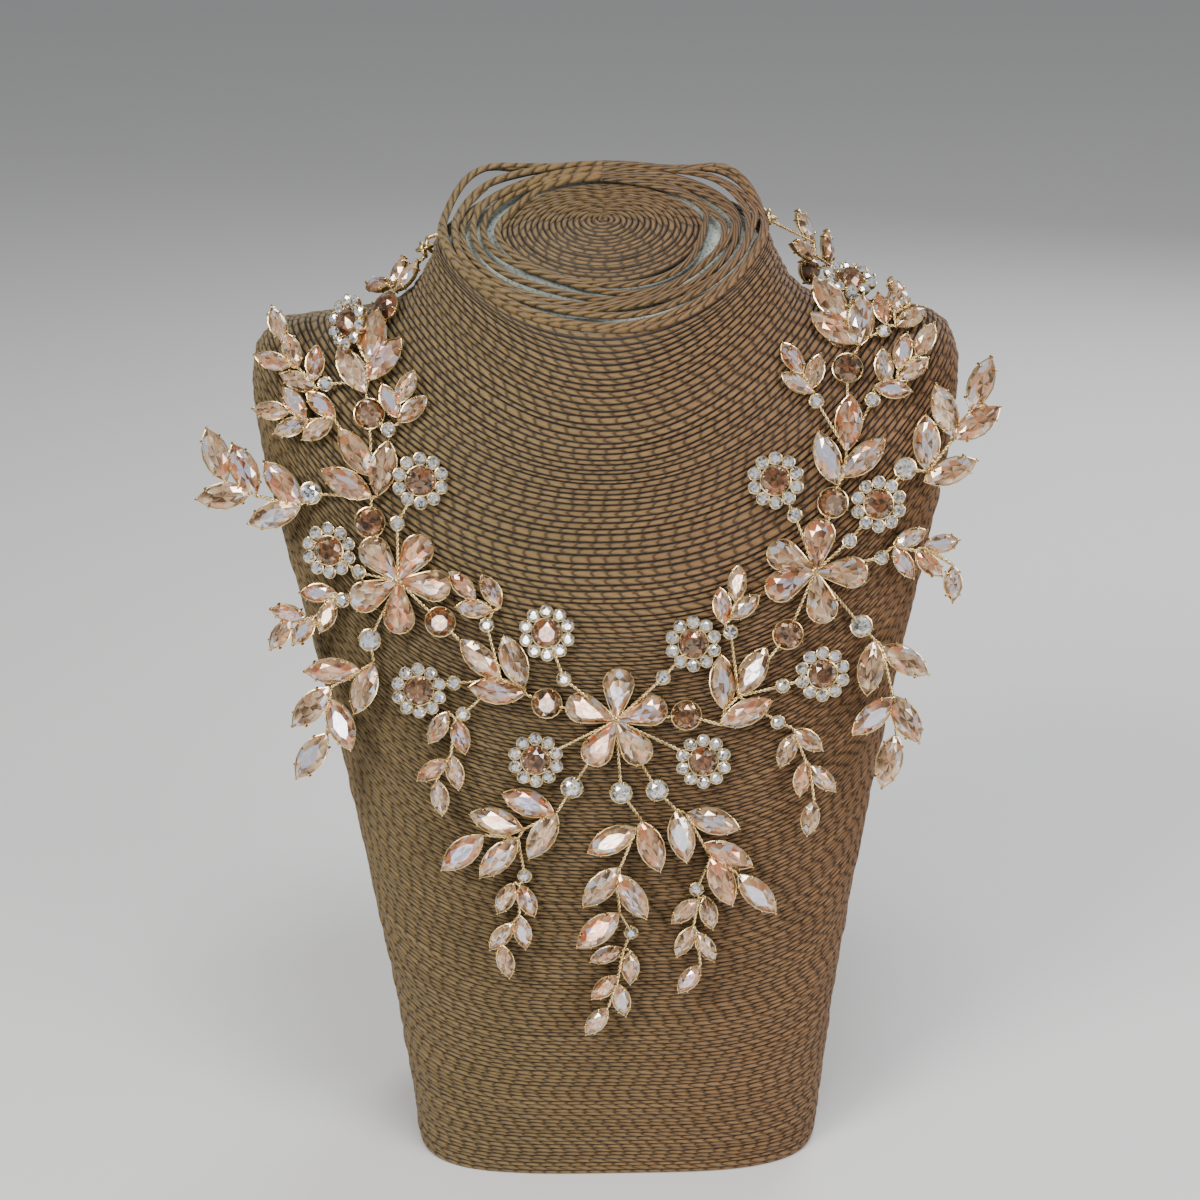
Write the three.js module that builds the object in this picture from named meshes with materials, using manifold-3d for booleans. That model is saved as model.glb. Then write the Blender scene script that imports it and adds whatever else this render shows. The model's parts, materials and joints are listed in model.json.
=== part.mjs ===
import * as THREE from "three";
import { ConvexGeometry } from "three/addons/geometries/ConvexGeometry.js";
import { mergeVertices } from "three/addons/utils/BufferGeometryUtils.js";
import Module from "manifold-3d";

// Bib necklace of leaf sprays, flowers and halo clusters on a cord-wound neck bust.
// Millimetres, +Z up, the front towards -Y, the origin at the middle of the bust's flat base.

const wasm = await Module();
wasm.setup();

// Neck bust
const BUST_HEIGHT = 288;
const FOOT_CUT = 16;
const SHOULDER_WIDTH = 196;
const NECK_WIDTH = 92;
const CHEST_DEPTH = 51;
const BACK_DEPTH = 42;

// Stones with their metal rim: length, width, height of the table over the girdle
const LARGE_LEAF = { length: 15.6, width: 7.6, crown: 1.7 };
const SMALL_LEAF = { length: 10.4, width: 5.4, crown: 1.3 };
const PETAL = { length: 15.2, width: 8.8, crown: 2.2 };
const CHATON = { length: 8.6, width: 8.6, crown: 2.0 };
const LARGE_CLEAR = { length: 6.4, width: 6.4, crown: 1.4 };
const SMALL_CLEAR = { length: 4.2, width: 4.2, crown: 1.1 };
const CLUSTER_WIDTH = 15.2;
const CLUSTER_CENTRE_WIDTH = 8.6;
const CLUSTER_STONES = 10;

// Height of every girdle, and of the wires, over the back of a motif
const GIRDLE_HEIGHT = 1.9;
const LEAF_ROLL = THREE.MathUtils.degToRad(7);
const LEAF_OVERLAP = 0.7;

// Wire, chain and clasp
const WIRE_THICKNESS = 1.1;
const WIRE_SIDES = 3;
const LINK_LENGTH = 9;
const LINK_WIDTH = 5.4;
const LINK_WIRE = 1.2;
const LINK_SIDES = 10;
const LINK_WIRE_SIDES = 5;
const LINK_BITE = 0.16;
const RING_WIDTH = 5;
const CLASP_LENGTH = 9;
const CLASP_WIDTH = 5;
const CLASP_THICKNESS = 3;
const CHAIN_DROP = 0.7;

// Space kept between two pieces
const CLEARANCE = 0.3;

// Proportions of the cut stones: how far out the outline's corners, the table and the back reach
const LEAF_SHOULDER = 0.3;
const LEAF_TABLE = 0.55;
const LEAF_KEEL = 0.45;
const PETAL_ARC = [-105, -60, -20, 20, 60, 105, -150, 150].map(THREE.MathUtils.degToRad);
const ROUND_TABLE = 0.58;
const ROUND_BACK = 0.66;
const CLUSTER_TABLE = 0.24;
const CLUSTER_NOTCH = 0.9;
const CLUSTER_BULGE = 0.25;

// Sides of the round stones, the knot that joins a flower's petals, and how the stem enters a leaf
const CHATON_SIDES = 10;
const CLEAR_SIDES = 6;
const FLOWER_KNOT = { width: 3, crown: 0.2 };
const STEM_INSET = -0.2;

// How a motif settles on the bust, and how the chain lies over it
const MOTIF_REACH = 60;
const SEAT_GAP = 0.5;
const SETTLING_ROUNDS = 3;
const LEAST_SLOPE = 0.3;
const SHORTEST_SPAN = 0.3;
const CHAIN_LIFT = 2.5;
const CHAIN_POINTS = 10;

// How finely the bust is meshed, and how finely it is searched for a place on it
const BUST_ROWS = 1;
const BUST_SIDES = 28;
const SPOT_STEP = 0.12;
const SPOT_SIDES = 160;
const SPOT_NUDGE = 0.004;
const FINEST_EDGE = 0.01;
const FULL_TURN = 2 * Math.PI;

// Half widths and depths of the bust that its sections follow
const SHOULDER_HALF = SHOULDER_WIDTH / 2;
const NECK_HALF = NECK_WIDTH / 2;

// The form that the cord is wound on has a foot, which is cut off flat at the base
const FORM_HEIGHT = BUST_HEIGHT + FOOT_CUT;

// Turns of cord from the base to the eye of the spiral, each a closed ring: its height at the front,
// side and back as shares of FORM_HEIGHT, its half width as a share of the shoulder's or the neck's,
// its depth ahead and behind as shares of CHEST_DEPTH and BACK_DEPTH, and how square it is
const TURN_COLUMNS = ["front", "side", "back", "shoulder", "neck", "ahead", "behind", "square"];
const TURN_TABLE = [
  [0.0, 0.0, 0.0, 0.625, 0, 0.88, 0.9, 3.9],
  [0.176, 0.21, 0.2, 0.675, 0, 0.94, 0.95, 3.6],
  [0.3, 0.37, 0.342, 0.75, 0, 0.98, 1.0, 3.2],
  [0.418, 0.536, 0.487, 0.838, 0, 1.0, 1.0, 2.9],
  [0.514, 0.671, 0.61, 0.925, 0, 0.98, 0.98, 2.7],
  [0.581, 0.771, 0.694, 0.985, 0, 0.94, 0.96, 2.5],
  [0.638, 0.84, 0.763, 1.0, 0, 0.89, 0.94, 2.4],
  [0.69, 0.874, 0.81, 0.945, 0, 0.83, 0.92, 2.3],
  [0.738, 0.881, 0.847, 0.8, 0, 0.77, 0.9, 2.2],
  [0.776, 0.886, 0.882, 0, 1.36, 0.71, 0.88, 2.1],
  [0.814, 0.906, 0.919, 0, 1.15, 0.65, 0.86, 2.0],
  [0.852, 0.933, 0.958, 0, 1.04, 0.61, 0.84, 2.0],
  [0.881, 0.951, 0.99, 0, 0.97, 0.5, 0.8, 2.0],
  [0.909, 0.951, 0.985, 0, 0.68, 0.2, 0.66, 2.0],
  [0.957, 0.957, 0.957, 0, 0, -0.3, 0.37, 2.0],
];

// The picture that the places below are read in, 1200 by 1200 points seen from a little above the
// chest: the middle of the bust in it, how far it leans there, the eye and the point that it looks at
// as shares of the bust's sizes, and the step of one picture point across and up
const PICTURE_MIDDLE = { px: 609, py: 600 };
const PICTURE_LEAN = 0.016;
const EYE = new THREE.Vector3(0, -11.957 * CHEST_DEPTH, 1.3283 * FORM_HEIGHT - FOOT_CUT);
const AIM = new THREE.Vector3(0, -0.902 * CHEST_DEPTH, 0.6533 * FORM_HEIGHT - FOOT_CUT);
const STEP_ACROSS = new THREE.Vector3(0.002755 * SHOULDER_HALF, 0, 0);
const STEP_UP = new THREE.Vector3(0, 0.001811 * CHEST_DEPTH, 0.000835 * FORM_HEIGHT);

// Flowers of five petals: the middle, then the outer end of each petal
const FLOWERS = [
  { name: "flower_centre", middle: [616, 719], ends: [[620, 661], [668, 705], [647, 763], [588, 763], [567, 700]] },
  { name: "flower_left", middle: [399, 577], ends: [[367, 537], [428, 532], [448, 584], [401, 631], [353, 598]] },
  { name: "flower_right", middle: [814, 574], ends: [[767, 549], [820, 526], [871, 576], [825, 629], [764, 595]] },
];

// Halo clusters: the middle, small clear stones on the wire, and the piece and place that it holds
const CLUSTERS = [
  { name: "cluster_left_neck", middle: [421, 478], clear: [[398, 520]], holds: [["flower_left", 403, 560]] },
  { name: "cluster_left_outer", middle: [331, 545], clear: [[361, 567]], holds: [["flower_left", 392, 575]] },
  { name: "cluster_left_inner", middle: [547, 631], clear: [[564, 677]], holds: [["flower_centre", 582, 705]] },
  { name: "cluster_left_lower", middle: [420, 686], clear: [[455, 679]], holds: [["trio_left_chest", 478, 685]] },
  { name: "cluster_left_centre", middle: [536, 757], clear: [], holds: [["flower_centre", 594, 752]] },
  { name: "cluster_right_inner", middle: [693, 644], clear: [[663, 677]], holds: [["flower_centre", 655, 708]] },
  { name: "cluster_right_centre", middle: [703, 761], clear: [], holds: [["flower_centre", 640, 752]] },
  { name: "cluster_right_lower", middle: [821, 676], clear: [[781, 687]], holds: [["trio_right_chest", 768, 702]] },
  { name: "cluster_right_neck", middle: [775, 483], clear: [[794, 518]], holds: [["flower_right", 812, 562]] },
  { name: "cluster_right_outer", middle: [877, 508], clear: [[848, 544]], holds: [["flower_right", 822, 570]] },
  { name: "cluster_left_shoulder", middle: [352, 319], clear: [], holds: [["trio_left_neck", 373, 338]],
    faces: [-0.72, -0.62, 0.3] },
  { name: "cluster_right_shoulder", middle: [849, 287], clear: [[851, 305]], holds: [["trio_right_neck", 859, 322]],
    faces: [0.12, -0.4, 0.91] },
];

// Single stones along the collar: the middle, and the pieces and places that each holds
const CHATONS = [
  { name: "stone_left_1", middle: [389, 306], holds: [["trio_left_neck", 375, 326], ["trio_left_back", 393, 286]],
    faces: [-0.5, -0.65, 0.57] },
  { name: "stone_left_2", middle: [370, 411], holds: [["trio_left_neck", 368, 384], ["trio_left_shoulder", 385, 452]] },
  { name: "stone_left_3", middle: [371, 518], holds: [["trio_left_shoulder", 376, 489], ["flower_left", 372, 546]] },
  { name: "stone_left_4", middle: [441, 618], holds: [["flower_left", 430, 582], ["trio_left_chest", 464, 638]] },
  { name: "stone_left_5", middle: [547, 701], holds: [["trio_left_chest", 518, 685], ["flower_centre", 574, 703]] },
  { name: "stone_right_1", middle: [805, 275], holds: [["trio_right_neck", 820, 291], ["trio_right_back", 808, 259]],
    faces: [0.72, -0.62, 0.3] },
  { name: "stone_right_2", middle: [847, 374], holds: [["trio_right_neck", 856, 347], ["trio_right_shoulder", 850, 408]] },
  { name: "stone_right_3", middle: [832, 506], holds: [["trio_right_shoulder", 834, 481], ["flower_right", 819, 534]] },
  { name: "stone_right_4", middle: [787, 636], holds: [["flower_right", 779, 588], ["trio_right_chest", 765, 649]] },
  { name: "stone_right_5", middle: [686, 715], holds: [["trio_right_chest", 728, 721], ["flower_centre", 660, 707]] },
];

// Leaf motifs: clear stones on the wire, the leaves from inner tip to outer tip, and what it holds.
// A trio's stems run from its root to each inner tip, a spray's runs through the tips in their order.
const LEAF_COLUMNS = ["innerX", "innerY", "outerX", "outerY"];
const TRIOS = [
  { name: "trio_left_neck", leaf: LARGE_LEAF, root: [367, 376], clear: [], holds: [],
    leaves: [[368, 359, 376, 317], [369, 378, 403, 335], [365, 390, 342, 350]] },
  { name: "trio_left_shoulder", leaf: LARGE_LEAF, root: [373, 488], clear: [], holds: [],
    leaves: [[378, 490, 387, 445], [372, 470, 344, 429], [370, 493, 328, 469]] },
  { name: "trio_left_chest", leaf: LARGE_LEAF, root: [521, 684], clear: [], holds: [],
    leaves: [[523, 683, 502, 630], [500, 674, 457, 631], [523, 692, 467, 684]] },
  { name: "trio_right_chest", leaf: LARGE_LEAF, root: [723, 711], clear: [], holds: [],
    leaves: [[723, 708, 719, 648], [740, 695, 770, 642], [722, 723, 777, 698]] },
  { name: "trio_right_shoulder", leaf: LARGE_LEAF, root: [842, 470], clear: [], holds: [],
    leaves: [[835, 487, 815, 431], [847, 453, 850, 402], [843, 479, 885, 441]] },
  { name: "trio_right_neck", leaf: LARGE_LEAF, root: [856, 352], clear: [], holds: [],
    leaves: [[854, 350, 802, 314], [845, 325, 815, 284], [858, 351, 861, 312]] },
  { name: "trio_left_back", leaf: SMALL_LEAF, root: [398, 290], clear: [], holds: [],
    faces: [-0.6, -0.45, 0.66],
    leaves: [[391, 286, 364, 283], [397, 286, 409, 256], [401, 289, 421, 262]], ring: [429, 250] },
  { name: "trio_right_back", leaf: SMALL_LEAF, root: [810, 259], clear: [], holds: [],
    faces: [0.72, -0.6, 0.35],
    leaves: [[809, 261, 777, 243], [808, 245, 790, 209], [824, 268, 821, 229]], ring: [773, 219] },
  { name: "small_trio_left_shoulder", leaf: SMALL_LEAF, root: [396, 420], clear: [[389, 427]],
    leaves: [[397, 414, 381, 380], [400, 400, 417, 366], [401, 418, 428, 392]], holds: [["stone_left_2", 374, 415]] },
  { name: "small_trio_left_chest", leaf: SMALL_LEAF, root: [487, 610], clear: [[487, 622]],
    leaves: [[491, 608, 451, 604], [475, 594, 449, 566], [499, 603, 479, 568]], holds: [["trio_left_chest", 504, 638]] },
  { name: "small_trio_right_chest", leaf: SMALL_LEAF, root: [730, 622], clear: [[730, 633]],
    leaves: [[723, 623, 718, 584], [736, 601, 740, 560], [731, 618, 759, 595]], holds: [["trio_right_chest", 720, 656]] },
  { name: "small_trio_right_shoulder", leaf: SMALL_LEAF, root: [813, 398], clear: [[816, 406]],
    leaves: [[811, 397, 778, 377], [802, 376, 784, 349], [809, 392, 819, 357]], holds: [["trio_right_shoulder", 817, 438]] },
];
const SPRAYS = [
  { name: "spray_centre_left", leaf: LARGE_LEAF, root: [572, 785], wide: [[572, 785]],
    leaves: [[552, 810, 496, 788], [555, 811, 525, 860], [521, 826, 466, 809], [516, 836, 476, 876],
      [483, 833, 436, 871]], holds: [["flower_centre", 588, 757]] },
  { name: "spray_centre", leaf: LARGE_LEAF, root: [621, 791], wide: [[621, 791]],
    leaves: [[635, 828, 590, 850], [642, 822, 661, 876], [619, 873, 652, 924], [618, 866, 578, 908],
      [618, 913, 571, 950]], holds: [["flower_centre", 638, 757]] },
  { name: "spray_centre_right", leaf: LARGE_LEAF, root: [657, 789], wide: [[657, 789]],
    leaves: [[677, 811, 689, 869], [688, 814, 745, 831], [705, 843, 766, 872], [711, 858, 733, 910],
      [740, 875, 783, 920]], holds: [["flower_centre", 647, 757]] },
  { name: "spray_left_lower", leaf: LARGE_LEAF, root: [371, 635], wide: [[371, 635]], facing: 0.55,
    leaves: [[375, 660, 355, 713], [359, 664, 304, 665], [331, 684, 292, 723], [332, 695, 353, 749],
      [328, 730, 295, 777]], holds: [["flower_left", 395, 589]] },
  { name: "spray_right_lower", leaf: LARGE_LEAF, root: [860, 629], wide: [[860, 629]], facing: 0.55,
    leaves: [[874, 646, 865, 704], [882, 651, 934, 684], [893, 700, 922, 753], [891, 702, 846, 740],
      [895, 740, 880, 796]], holds: [["flower_right", 822, 585]] },
  { name: "spray_left_outer", leaf: LARGE_LEAF, root: [312, 488], wide: [[312, 488]], facing: 0.6,
    leaves: [[300, 499, 264, 456], [300, 500, 246, 518], [256, 488, 235, 442], [251, 486, 195, 492],
      [226, 474, 208, 424]], holds: [["trio_left_shoulder", 334, 473]] },
  { name: "spray_right_outer", leaf: LARGE_LEAF, root: [904, 473], wide: [[904, 473]], facing: 0.6,
    leaves: [[925, 485, 973, 466], [927, 474, 925, 419], [952, 441, 932, 387], [954, 444, 994, 417],
      [969, 414, 985, 373]], holds: [["cluster_right_outer", 884, 500]] },
  { name: "sprig_left_outer", leaf: SMALL_LEAF, root: [344, 595], clear: [[344, 595]], facing: 0.55,
    leaves: [[336, 588, 305, 588], [334, 595, 322, 624], [316, 613, 296, 638], [306, 611, 272, 602],
      [292, 616, 271, 646]], holds: [["flower_left", 360, 595]] },
  { name: "sprig_right_outer", leaf: SMALL_LEAF, root: [880, 561], clear: [[880, 561]], facing: 0.55,
    leaves: [[893, 548, 927, 533], [893, 553, 912, 585], [916, 556, 944, 583], [924, 552, 958, 546],
      [952, 572, 952, 610]], holds: [["flower_right", 864, 576]] },
  { name: "sprig_left_upper", leaf: SMALL_LEAF, root: [326, 381], clear: [[326, 381]], facing: 0.45,
    leaves: [[313, 376, 316, 347], [314, 384, 283, 370], [289, 363, 255, 352], [299, 362, 287, 329],
      [283, 336, 272, 303]], holds: [["trio_left_neck", 350, 365]] },
  { name: "sprig_left_middle", leaf: SMALL_LEAF, root: [337, 430], clear: [[337, 430]], facing: 0.45,
    leaves: [[334, 412, 311, 392], [332, 415, 303, 434], [308, 417, 279, 428], [306, 412, 288, 387],
      [289, 408, 255, 405]], holds: [["trio_left_shoulder", 349, 436]] },
  { name: "sprig_right_upper", leaf: SMALL_LEAF, root: [872, 405], clear: [[872, 405]], facing: 0.45,
    leaves: [[876, 391, 914, 397], [886, 389, 883, 360], [897, 373, 906, 338], [899, 385, 927, 366],
      [916, 360, 932, 330]], holds: [["trio_right_shoulder", 850, 410]] },
  { name: "sprig_right_top", leaf: SMALL_LEAF, root: [883, 339], clear: [[883, 339]], facing: 0.2,
    leaves: [[884, 331, 878, 307], [897, 329, 906, 305], [897, 333, 925, 316], [895, 320, 900, 278]],
    holds: [["trio_right_neck", 860, 330]] },
  { name: "sprig_left_lower", leaf: SMALL_LEAF, root: [464, 710], clear: [[464, 710]],
    leaves: [[448, 710, 429, 742], [456, 717, 466, 753], [453, 752, 461, 788], [446, 756, 417, 775],
      [439, 777, 445, 814]], holds: [["trio_left_chest", 474, 686]] },
  { name: "sprig_right_lower", leaf: SMALL_LEAF, root: [777, 723], clear: [[777, 723]],
    leaves: [[793, 737, 777, 774], [794, 732, 825, 756], [811, 768, 839, 797], [803, 764, 796, 803],
      [813, 804, 805, 842]], holds: [["trio_right_chest", 764, 704]] },
  { name: "sprig_centre_left", leaf: SMALL_LEAF, root: [525, 872], clear: [[525, 872]],
    leaves: [[514, 881, 496, 915], [520, 883, 537, 919], [521, 913, 528, 950], [511, 920, 485, 950],
      [503, 942, 513, 981]], holds: [["spray_centre_left", 531, 852]] },
  { name: "sprig_centre", leaf: SMALL_LEAF, root: [631, 930], clear: [[631, 930]],
    leaves: [[631, 950, 631, 989], [621, 946, 593, 956], [617, 975, 589, 999], [617, 983, 627, 1023],
      [607, 1007, 582, 1037]], holds: [["spray_centre", 644, 913]] },
  { name: "sprig_centre_right", leaf: SMALL_LEAF, root: [696, 888], clear: [[696, 888]],
    leaves: [[697, 900, 667, 926], [704, 897, 712, 933], [698, 932, 717, 964], [691, 926, 672, 961],
      [699, 966, 673, 998]], holds: [["spray_centre_right", 688, 860]] },
];
const USUAL_FACING = 0.3;

// Colours and finish
const CORD = new THREE.MeshStandardMaterial({ color: 0x9a7b58, roughness: 0.9, metalness: 0 });
const CHAMPAGNE = new THREE.MeshStandardMaterial({ color: 0xe2be9c, roughness: 0.15, metalness: 0.4 });
const AMBER = new THREE.MeshStandardMaterial({ color: 0x9c6f50, roughness: 0.15, metalness: 0.4 });
const CLEAR = new THREE.MeshStandardMaterial({ color: 0xe8eaec, roughness: 0.1, metalness: 0.4 });
const GOLD = new THREE.MeshStandardMaterial({ color: 0xd7b978, roughness: 0.3, metalness: 1 });

// Solids and meshes

function toSolid(geometry) {
  geometry.deleteAttribute("normal");
  geometry.deleteAttribute("uv");
  const merged = mergeVertices(geometry, 1e-4);
  const vertProperties = new Float32Array(merged.attributes.position.array);
  const triVerts = new Uint32Array(merged.index.array);
  return new wasm.Manifold(new wasm.Mesh({ numProp: 3, vertProperties, triVerts }));
}

function toGeometry(solid) {
  const { numProp, vertProperties, triVerts } = solid.getMesh();
  const positions = new Float32Array((vertProperties.length / numProp) * 3);
  for (let v = 0; v * numProp < vertProperties.length; v += 1) {
    positions.set(vertProperties.subarray(v * numProp, v * numProp + 3), v * 3);
  }
  const geometry = new THREE.BufferGeometry();
  geometry.setAttribute("position", new THREE.BufferAttribute(positions, 3));
  geometry.setIndex(Array.from(triVerts));
  return geometry;
}

function join(solids) {
  return solids.reduce((whole, solid) => whole.add(solid));
}

function largestPiece(solid) {
  const pieces = solid.decompose();
  return pieces.reduce((best, piece) => (piece.volume() > best.volume() ? piece : best));
}

function boxesMeet(a, b) {
  const p = a.boundingBox();
  const q = b.boundingBox();
  return [0, 1, 2].every((k) => p.min[k] < q.max[k] && q.min[k] < p.max[k]);
}

function cutBy(solid, others) {
  return others.filter((other) => boxesMeet(solid, other)).reduce((rest, other) => rest.subtract(other), solid);
}

function named(columns, row) {
  return Object.fromEntries(columns.map((column, k) => [column, row[k]]));
}

// The bust's surface

const TURNS = TURN_TABLE.map((row) => {
  const t = named(TURN_COLUMNS, row);
  return {
    front: Math.max(0, t.front * FORM_HEIGHT - FOOT_CUT),
    side: Math.max(0, t.side * FORM_HEIGHT - FOOT_CUT),
    back: Math.max(0, t.back * FORM_HEIGHT - FOOT_CUT),
    half: t.shoulder * SHOULDER_HALF + t.neck * NECK_HALF,
    ahead: t.ahead * CHEST_DEPTH,
    behind: t.behind * BACK_DEPTH,
    square: t.square,
  };
});
const LAST_TURN = TURNS.length - 1;

function throughFour(a, b, c, d, t) {
  return 0.5 * (2 * b + (c - a) * t + (2 * a - 5 * b + 4 * c - d) * t * t + (3 * b - a - 3 * c + d) * t * t * t);
}

function turnAt(turn) {
  const row = Math.min(Math.floor(turn), LAST_TURN - 1);
  const rows = [-1, 0, 1, 2].map((k) => TURNS[THREE.MathUtils.clamp(row + k, 0, LAST_TURN)]);
  const values = Object.keys(TURNS[0]).map((key) => [key, throughFour(...rows.map((r) => r[key]), turn - row)]);
  return Object.fromEntries(values);
}

// A point of the bust: a turn of the cord, and the angle round it from the +X side towards the back
function bustPoint(ring, angle) {
  const across = Math.cos(angle);
  const along = Math.sin(angle);
  const middle = (ring.behind - ring.ahead) / 2;
  const depth = (ring.behind + ring.ahead) / 2;
  const end = along < 0 ? ring.front : ring.back;
  return new THREE.Vector3(
    ring.half * Math.sign(across) * Math.abs(across) ** (2 / ring.square),
    middle + depth * Math.sign(along) * Math.abs(along) ** (2 / ring.square),
    ring.side + (end - ring.side) * along * along,
  );
}

function grown(ring, grow) {
  const { front, side, back, half, ahead, behind, square } = ring;
  return {
    front: front + grow, side: side + grow, back: back + grow,
    half: half + grow, ahead: ahead + grow, behind: behind + grow, square,
  };
}

// The bust as a closed mesh, with grow added all round it
function bustGeometry(grow) {
  const positions = [];
  const index = [];
  const turns = BUST_ROWS * LAST_TURN;
  for (let row = 0; row < turns; row += 1) {
    const ring = grown(turnAt(row / BUST_ROWS), grow);
    for (let side = 0; side < BUST_SIDES; side += 1) {
      positions.push(...bustPoint(ring, ((side + 0.5) / BUST_SIDES) * FULL_TURN).toArray());
    }
  }
  const eye = TURNS[LAST_TURN];
  const foot = positions.length / 3;
  positions.push(0, 0, grow, 0, eye.behind, eye.back + grow);
  for (let side = 0; side < BUST_SIDES; side += 1) {
    const next = (side + 1) % BUST_SIDES;
    index.push(foot, next, side);
    for (let row = 0; row < turns - 1; row += 1) {
      const low = row * BUST_SIDES;
      const high = low + BUST_SIDES;
      index.push(low + side, low + next, high + next, low + side, high + next, high + side);
    }
    const rim = (turns - 1) * BUST_SIDES;
    index.push(rim + side, rim + next, foot + 1);
  }
  const geometry = new THREE.BufferGeometry();
  geometry.setAttribute("position", new THREE.Float32BufferAttribute(positions, 3));
  geometry.setIndex(index);
  return geometry;
}

// Places read in the picture: a picture point is carried along its line of sight to the bust

const SIGHT = AIM.clone().sub(EYE);
const SLANTED_UP = STEP_UP.clone().addScaledVector(STEP_ACROSS, PICTURE_LEAN);
const TO_PICTURE = new THREE.Matrix3()
  .set(STEP_ACROSS.x, SLANTED_UP.x, SIGHT.x, 0, SLANTED_UP.y, SIGHT.y, 0, SLANTED_UP.z, SIGHT.z)
  .invert();

function lineOfSight(px, py) {
  return SIGHT.clone()
    .addScaledVector(STEP_ACROSS, px - PICTURE_MIDDLE.px)
    .addScaledVector(SLANTED_UP, PICTURE_MIDDLE.py - py)
    .normalize();
}

function bustSpot(ring, above, angle) {
  const point = bustPoint(ring, angle);
  const onward = bustPoint(ring, angle + SPOT_NUDGE).sub(point);
  const upward = bustPoint(above, angle).sub(point);
  return { point, normal: onward.cross(upward).normalize() };
}

function surfaceSpots() {
  const spots = [];
  for (let turn = SPOT_STEP; turn < LAST_TURN; turn += SPOT_STEP) {
    const ring = turnAt(turn);
    const above = turnAt(Math.min(turn + SPOT_STEP / 4, LAST_TURN));
    for (let side = 0; side < SPOT_SIDES; side += 1) {
      const angle = ((side + 0.5) / SPOT_SIDES) * FULL_TURN;
      const { point, normal } = bustSpot(ring, above, angle);
      const inPicture = point.clone().sub(EYE).applyMatrix3(TO_PICTURE);
      const px = PICTURE_MIDDLE.px + inPicture.x / inPicture.z;
      const py = PICTURE_MIDDLE.py - inPicture.y / inPicture.z;
      const shown = normal.dot(point.clone().sub(EYE)) < 0;
      spots.push({ point, normal, turn, angle, px, py, shown });
    }
  }
  return spots;
}
const SPOTS = surfaceSpots();
const SHOWN_SPOTS = SPOTS.filter((spot) => spot.shown);

function nearest(spots, distance) {
  return spots.reduce((best, spot) => {
    const gap = distance(spot);
    return gap < best.gap ? { spot, gap } : best;
  }, { spot: spots[0], gap: Infinity }).spot;
}

function spotInPicture([px, py]) {
  return nearest(SHOWN_SPOTS, (spot) => (spot.px - px) ** 2 + (spot.py - py) ** 2);
}

// The plane that a motif lies in: it rests on the bust at its root and is turned partly towards the
// eye, or faces the direction that its row gives. A motif with an end ring hangs from that ring.
function motifPlane({ root, ring, faces, facing = USUAL_FACING }) {
  const spot = spotInPicture(ring ?? root);
  const towardsEye = EYE.clone().sub(spot.point).normalize();
  const between = spot.normal.clone().lerp(towardsEye, facing);
  const normal = (faces ? new THREE.Vector3(...faces) : between).normalize();
  return { origin: spot.point.clone(), normal };
}

function onPlane(plane, [px, py], height = 0) {
  const sight = lineOfSight(px, py);
  const base = plane.origin.clone().addScaledVector(plane.normal, height);
  const reach = base.clone().sub(EYE).dot(plane.normal) / sight.dot(plane.normal);
  return EYE.clone().addScaledVector(sight, reach);
}

// Turns and moves a shape drawn along +X with its back on z = 0 to a place on a motif's plane
function placement(plane, at, heading, roll = 0) {
  const along = heading.clone().addScaledVector(plane.normal, -heading.dot(plane.normal)).normalize();
  const across = plane.normal.clone().cross(along);
  const turned = new THREE.Matrix4().makeBasis(along, across, plane.normal);
  return turned.multiply(new THREE.Matrix4().makeRotationX(roll)).setPosition(at);
}

// Cut stones in their settings. Each is drawn round the origin with its girdle at GIRDLE_HEIGHT, a table
// above and a narrower back below; grow is added all round it for the space that neighbours keep.

function stoneSolid(outline, table, back, crown, grow) {
  const girdle = outline.map(([x, y]) => new THREE.Vector3(x, y, GIRDLE_HEIGHT));
  const top = table.map(([x, y]) => new THREE.Vector3(x, y, GIRDLE_HEIGHT + crown + grow));
  const foot = back.map(([x, y]) => new THREE.Vector3(x, y, -grow));
  return toSolid(new ConvexGeometry([...girdle, ...top, ...foot]));
}

function ovalPoints(count, halfLength, halfWidth, start = 0) {
  return Array.from({ length: count }, (_, k) => {
    const angle = start + (k / count) * FULL_TURN;
    return [halfLength * Math.cos(angle), halfWidth * Math.sin(angle)];
  });
}

// A pointed oval bounded by two arcs
function leafSolid(size, grow) {
  const length = size.length / 2 + grow;
  const width = size.width / 2 + grow;
  const radius = (length * length + width * width) / (2 * width);
  const halfWidthAt = (x) => Math.sqrt(radius * radius - x * x) - radius + width;
  const shoulder = LEAF_SHOULDER * length;
  const outline = [[-length, 0], [length, 0]];
  for (const x of [-shoulder, shoulder]) {
    outline.push([x, halfWidthAt(x)], [x, -halfWidthAt(x)]);
  }
  const table = ovalPoints(4, LEAF_TABLE * length, LEAF_TABLE * width);
  const back = [[-LEAF_KEEL * length, 0], [LEAF_KEEL * length, 0]];
  return stoneSolid(outline, table, back, size.crown, grow);
}

// A drop: a point at -X, and a round end at +X of the drop's own width
function petalSolid(size, grow) {
  const length = size.length / 2 + grow;
  const width = size.width / 2 + grow;
  const round = length - width;
  const outline = [[-length, 0]];
  for (const angle of PETAL_ARC) {
    outline.push([round + width * Math.cos(angle), width * Math.sin(angle)]);
  }
  const table = ovalPoints(4, LEAF_TABLE * length, LEAF_TABLE * width).map(([x, y]) => [x + round / 2, y]);
  const back = [[-LEAF_KEEL * length, 0], [round, 0]];
  return stoneSolid(outline, table, back, size.crown, grow);
}

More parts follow.
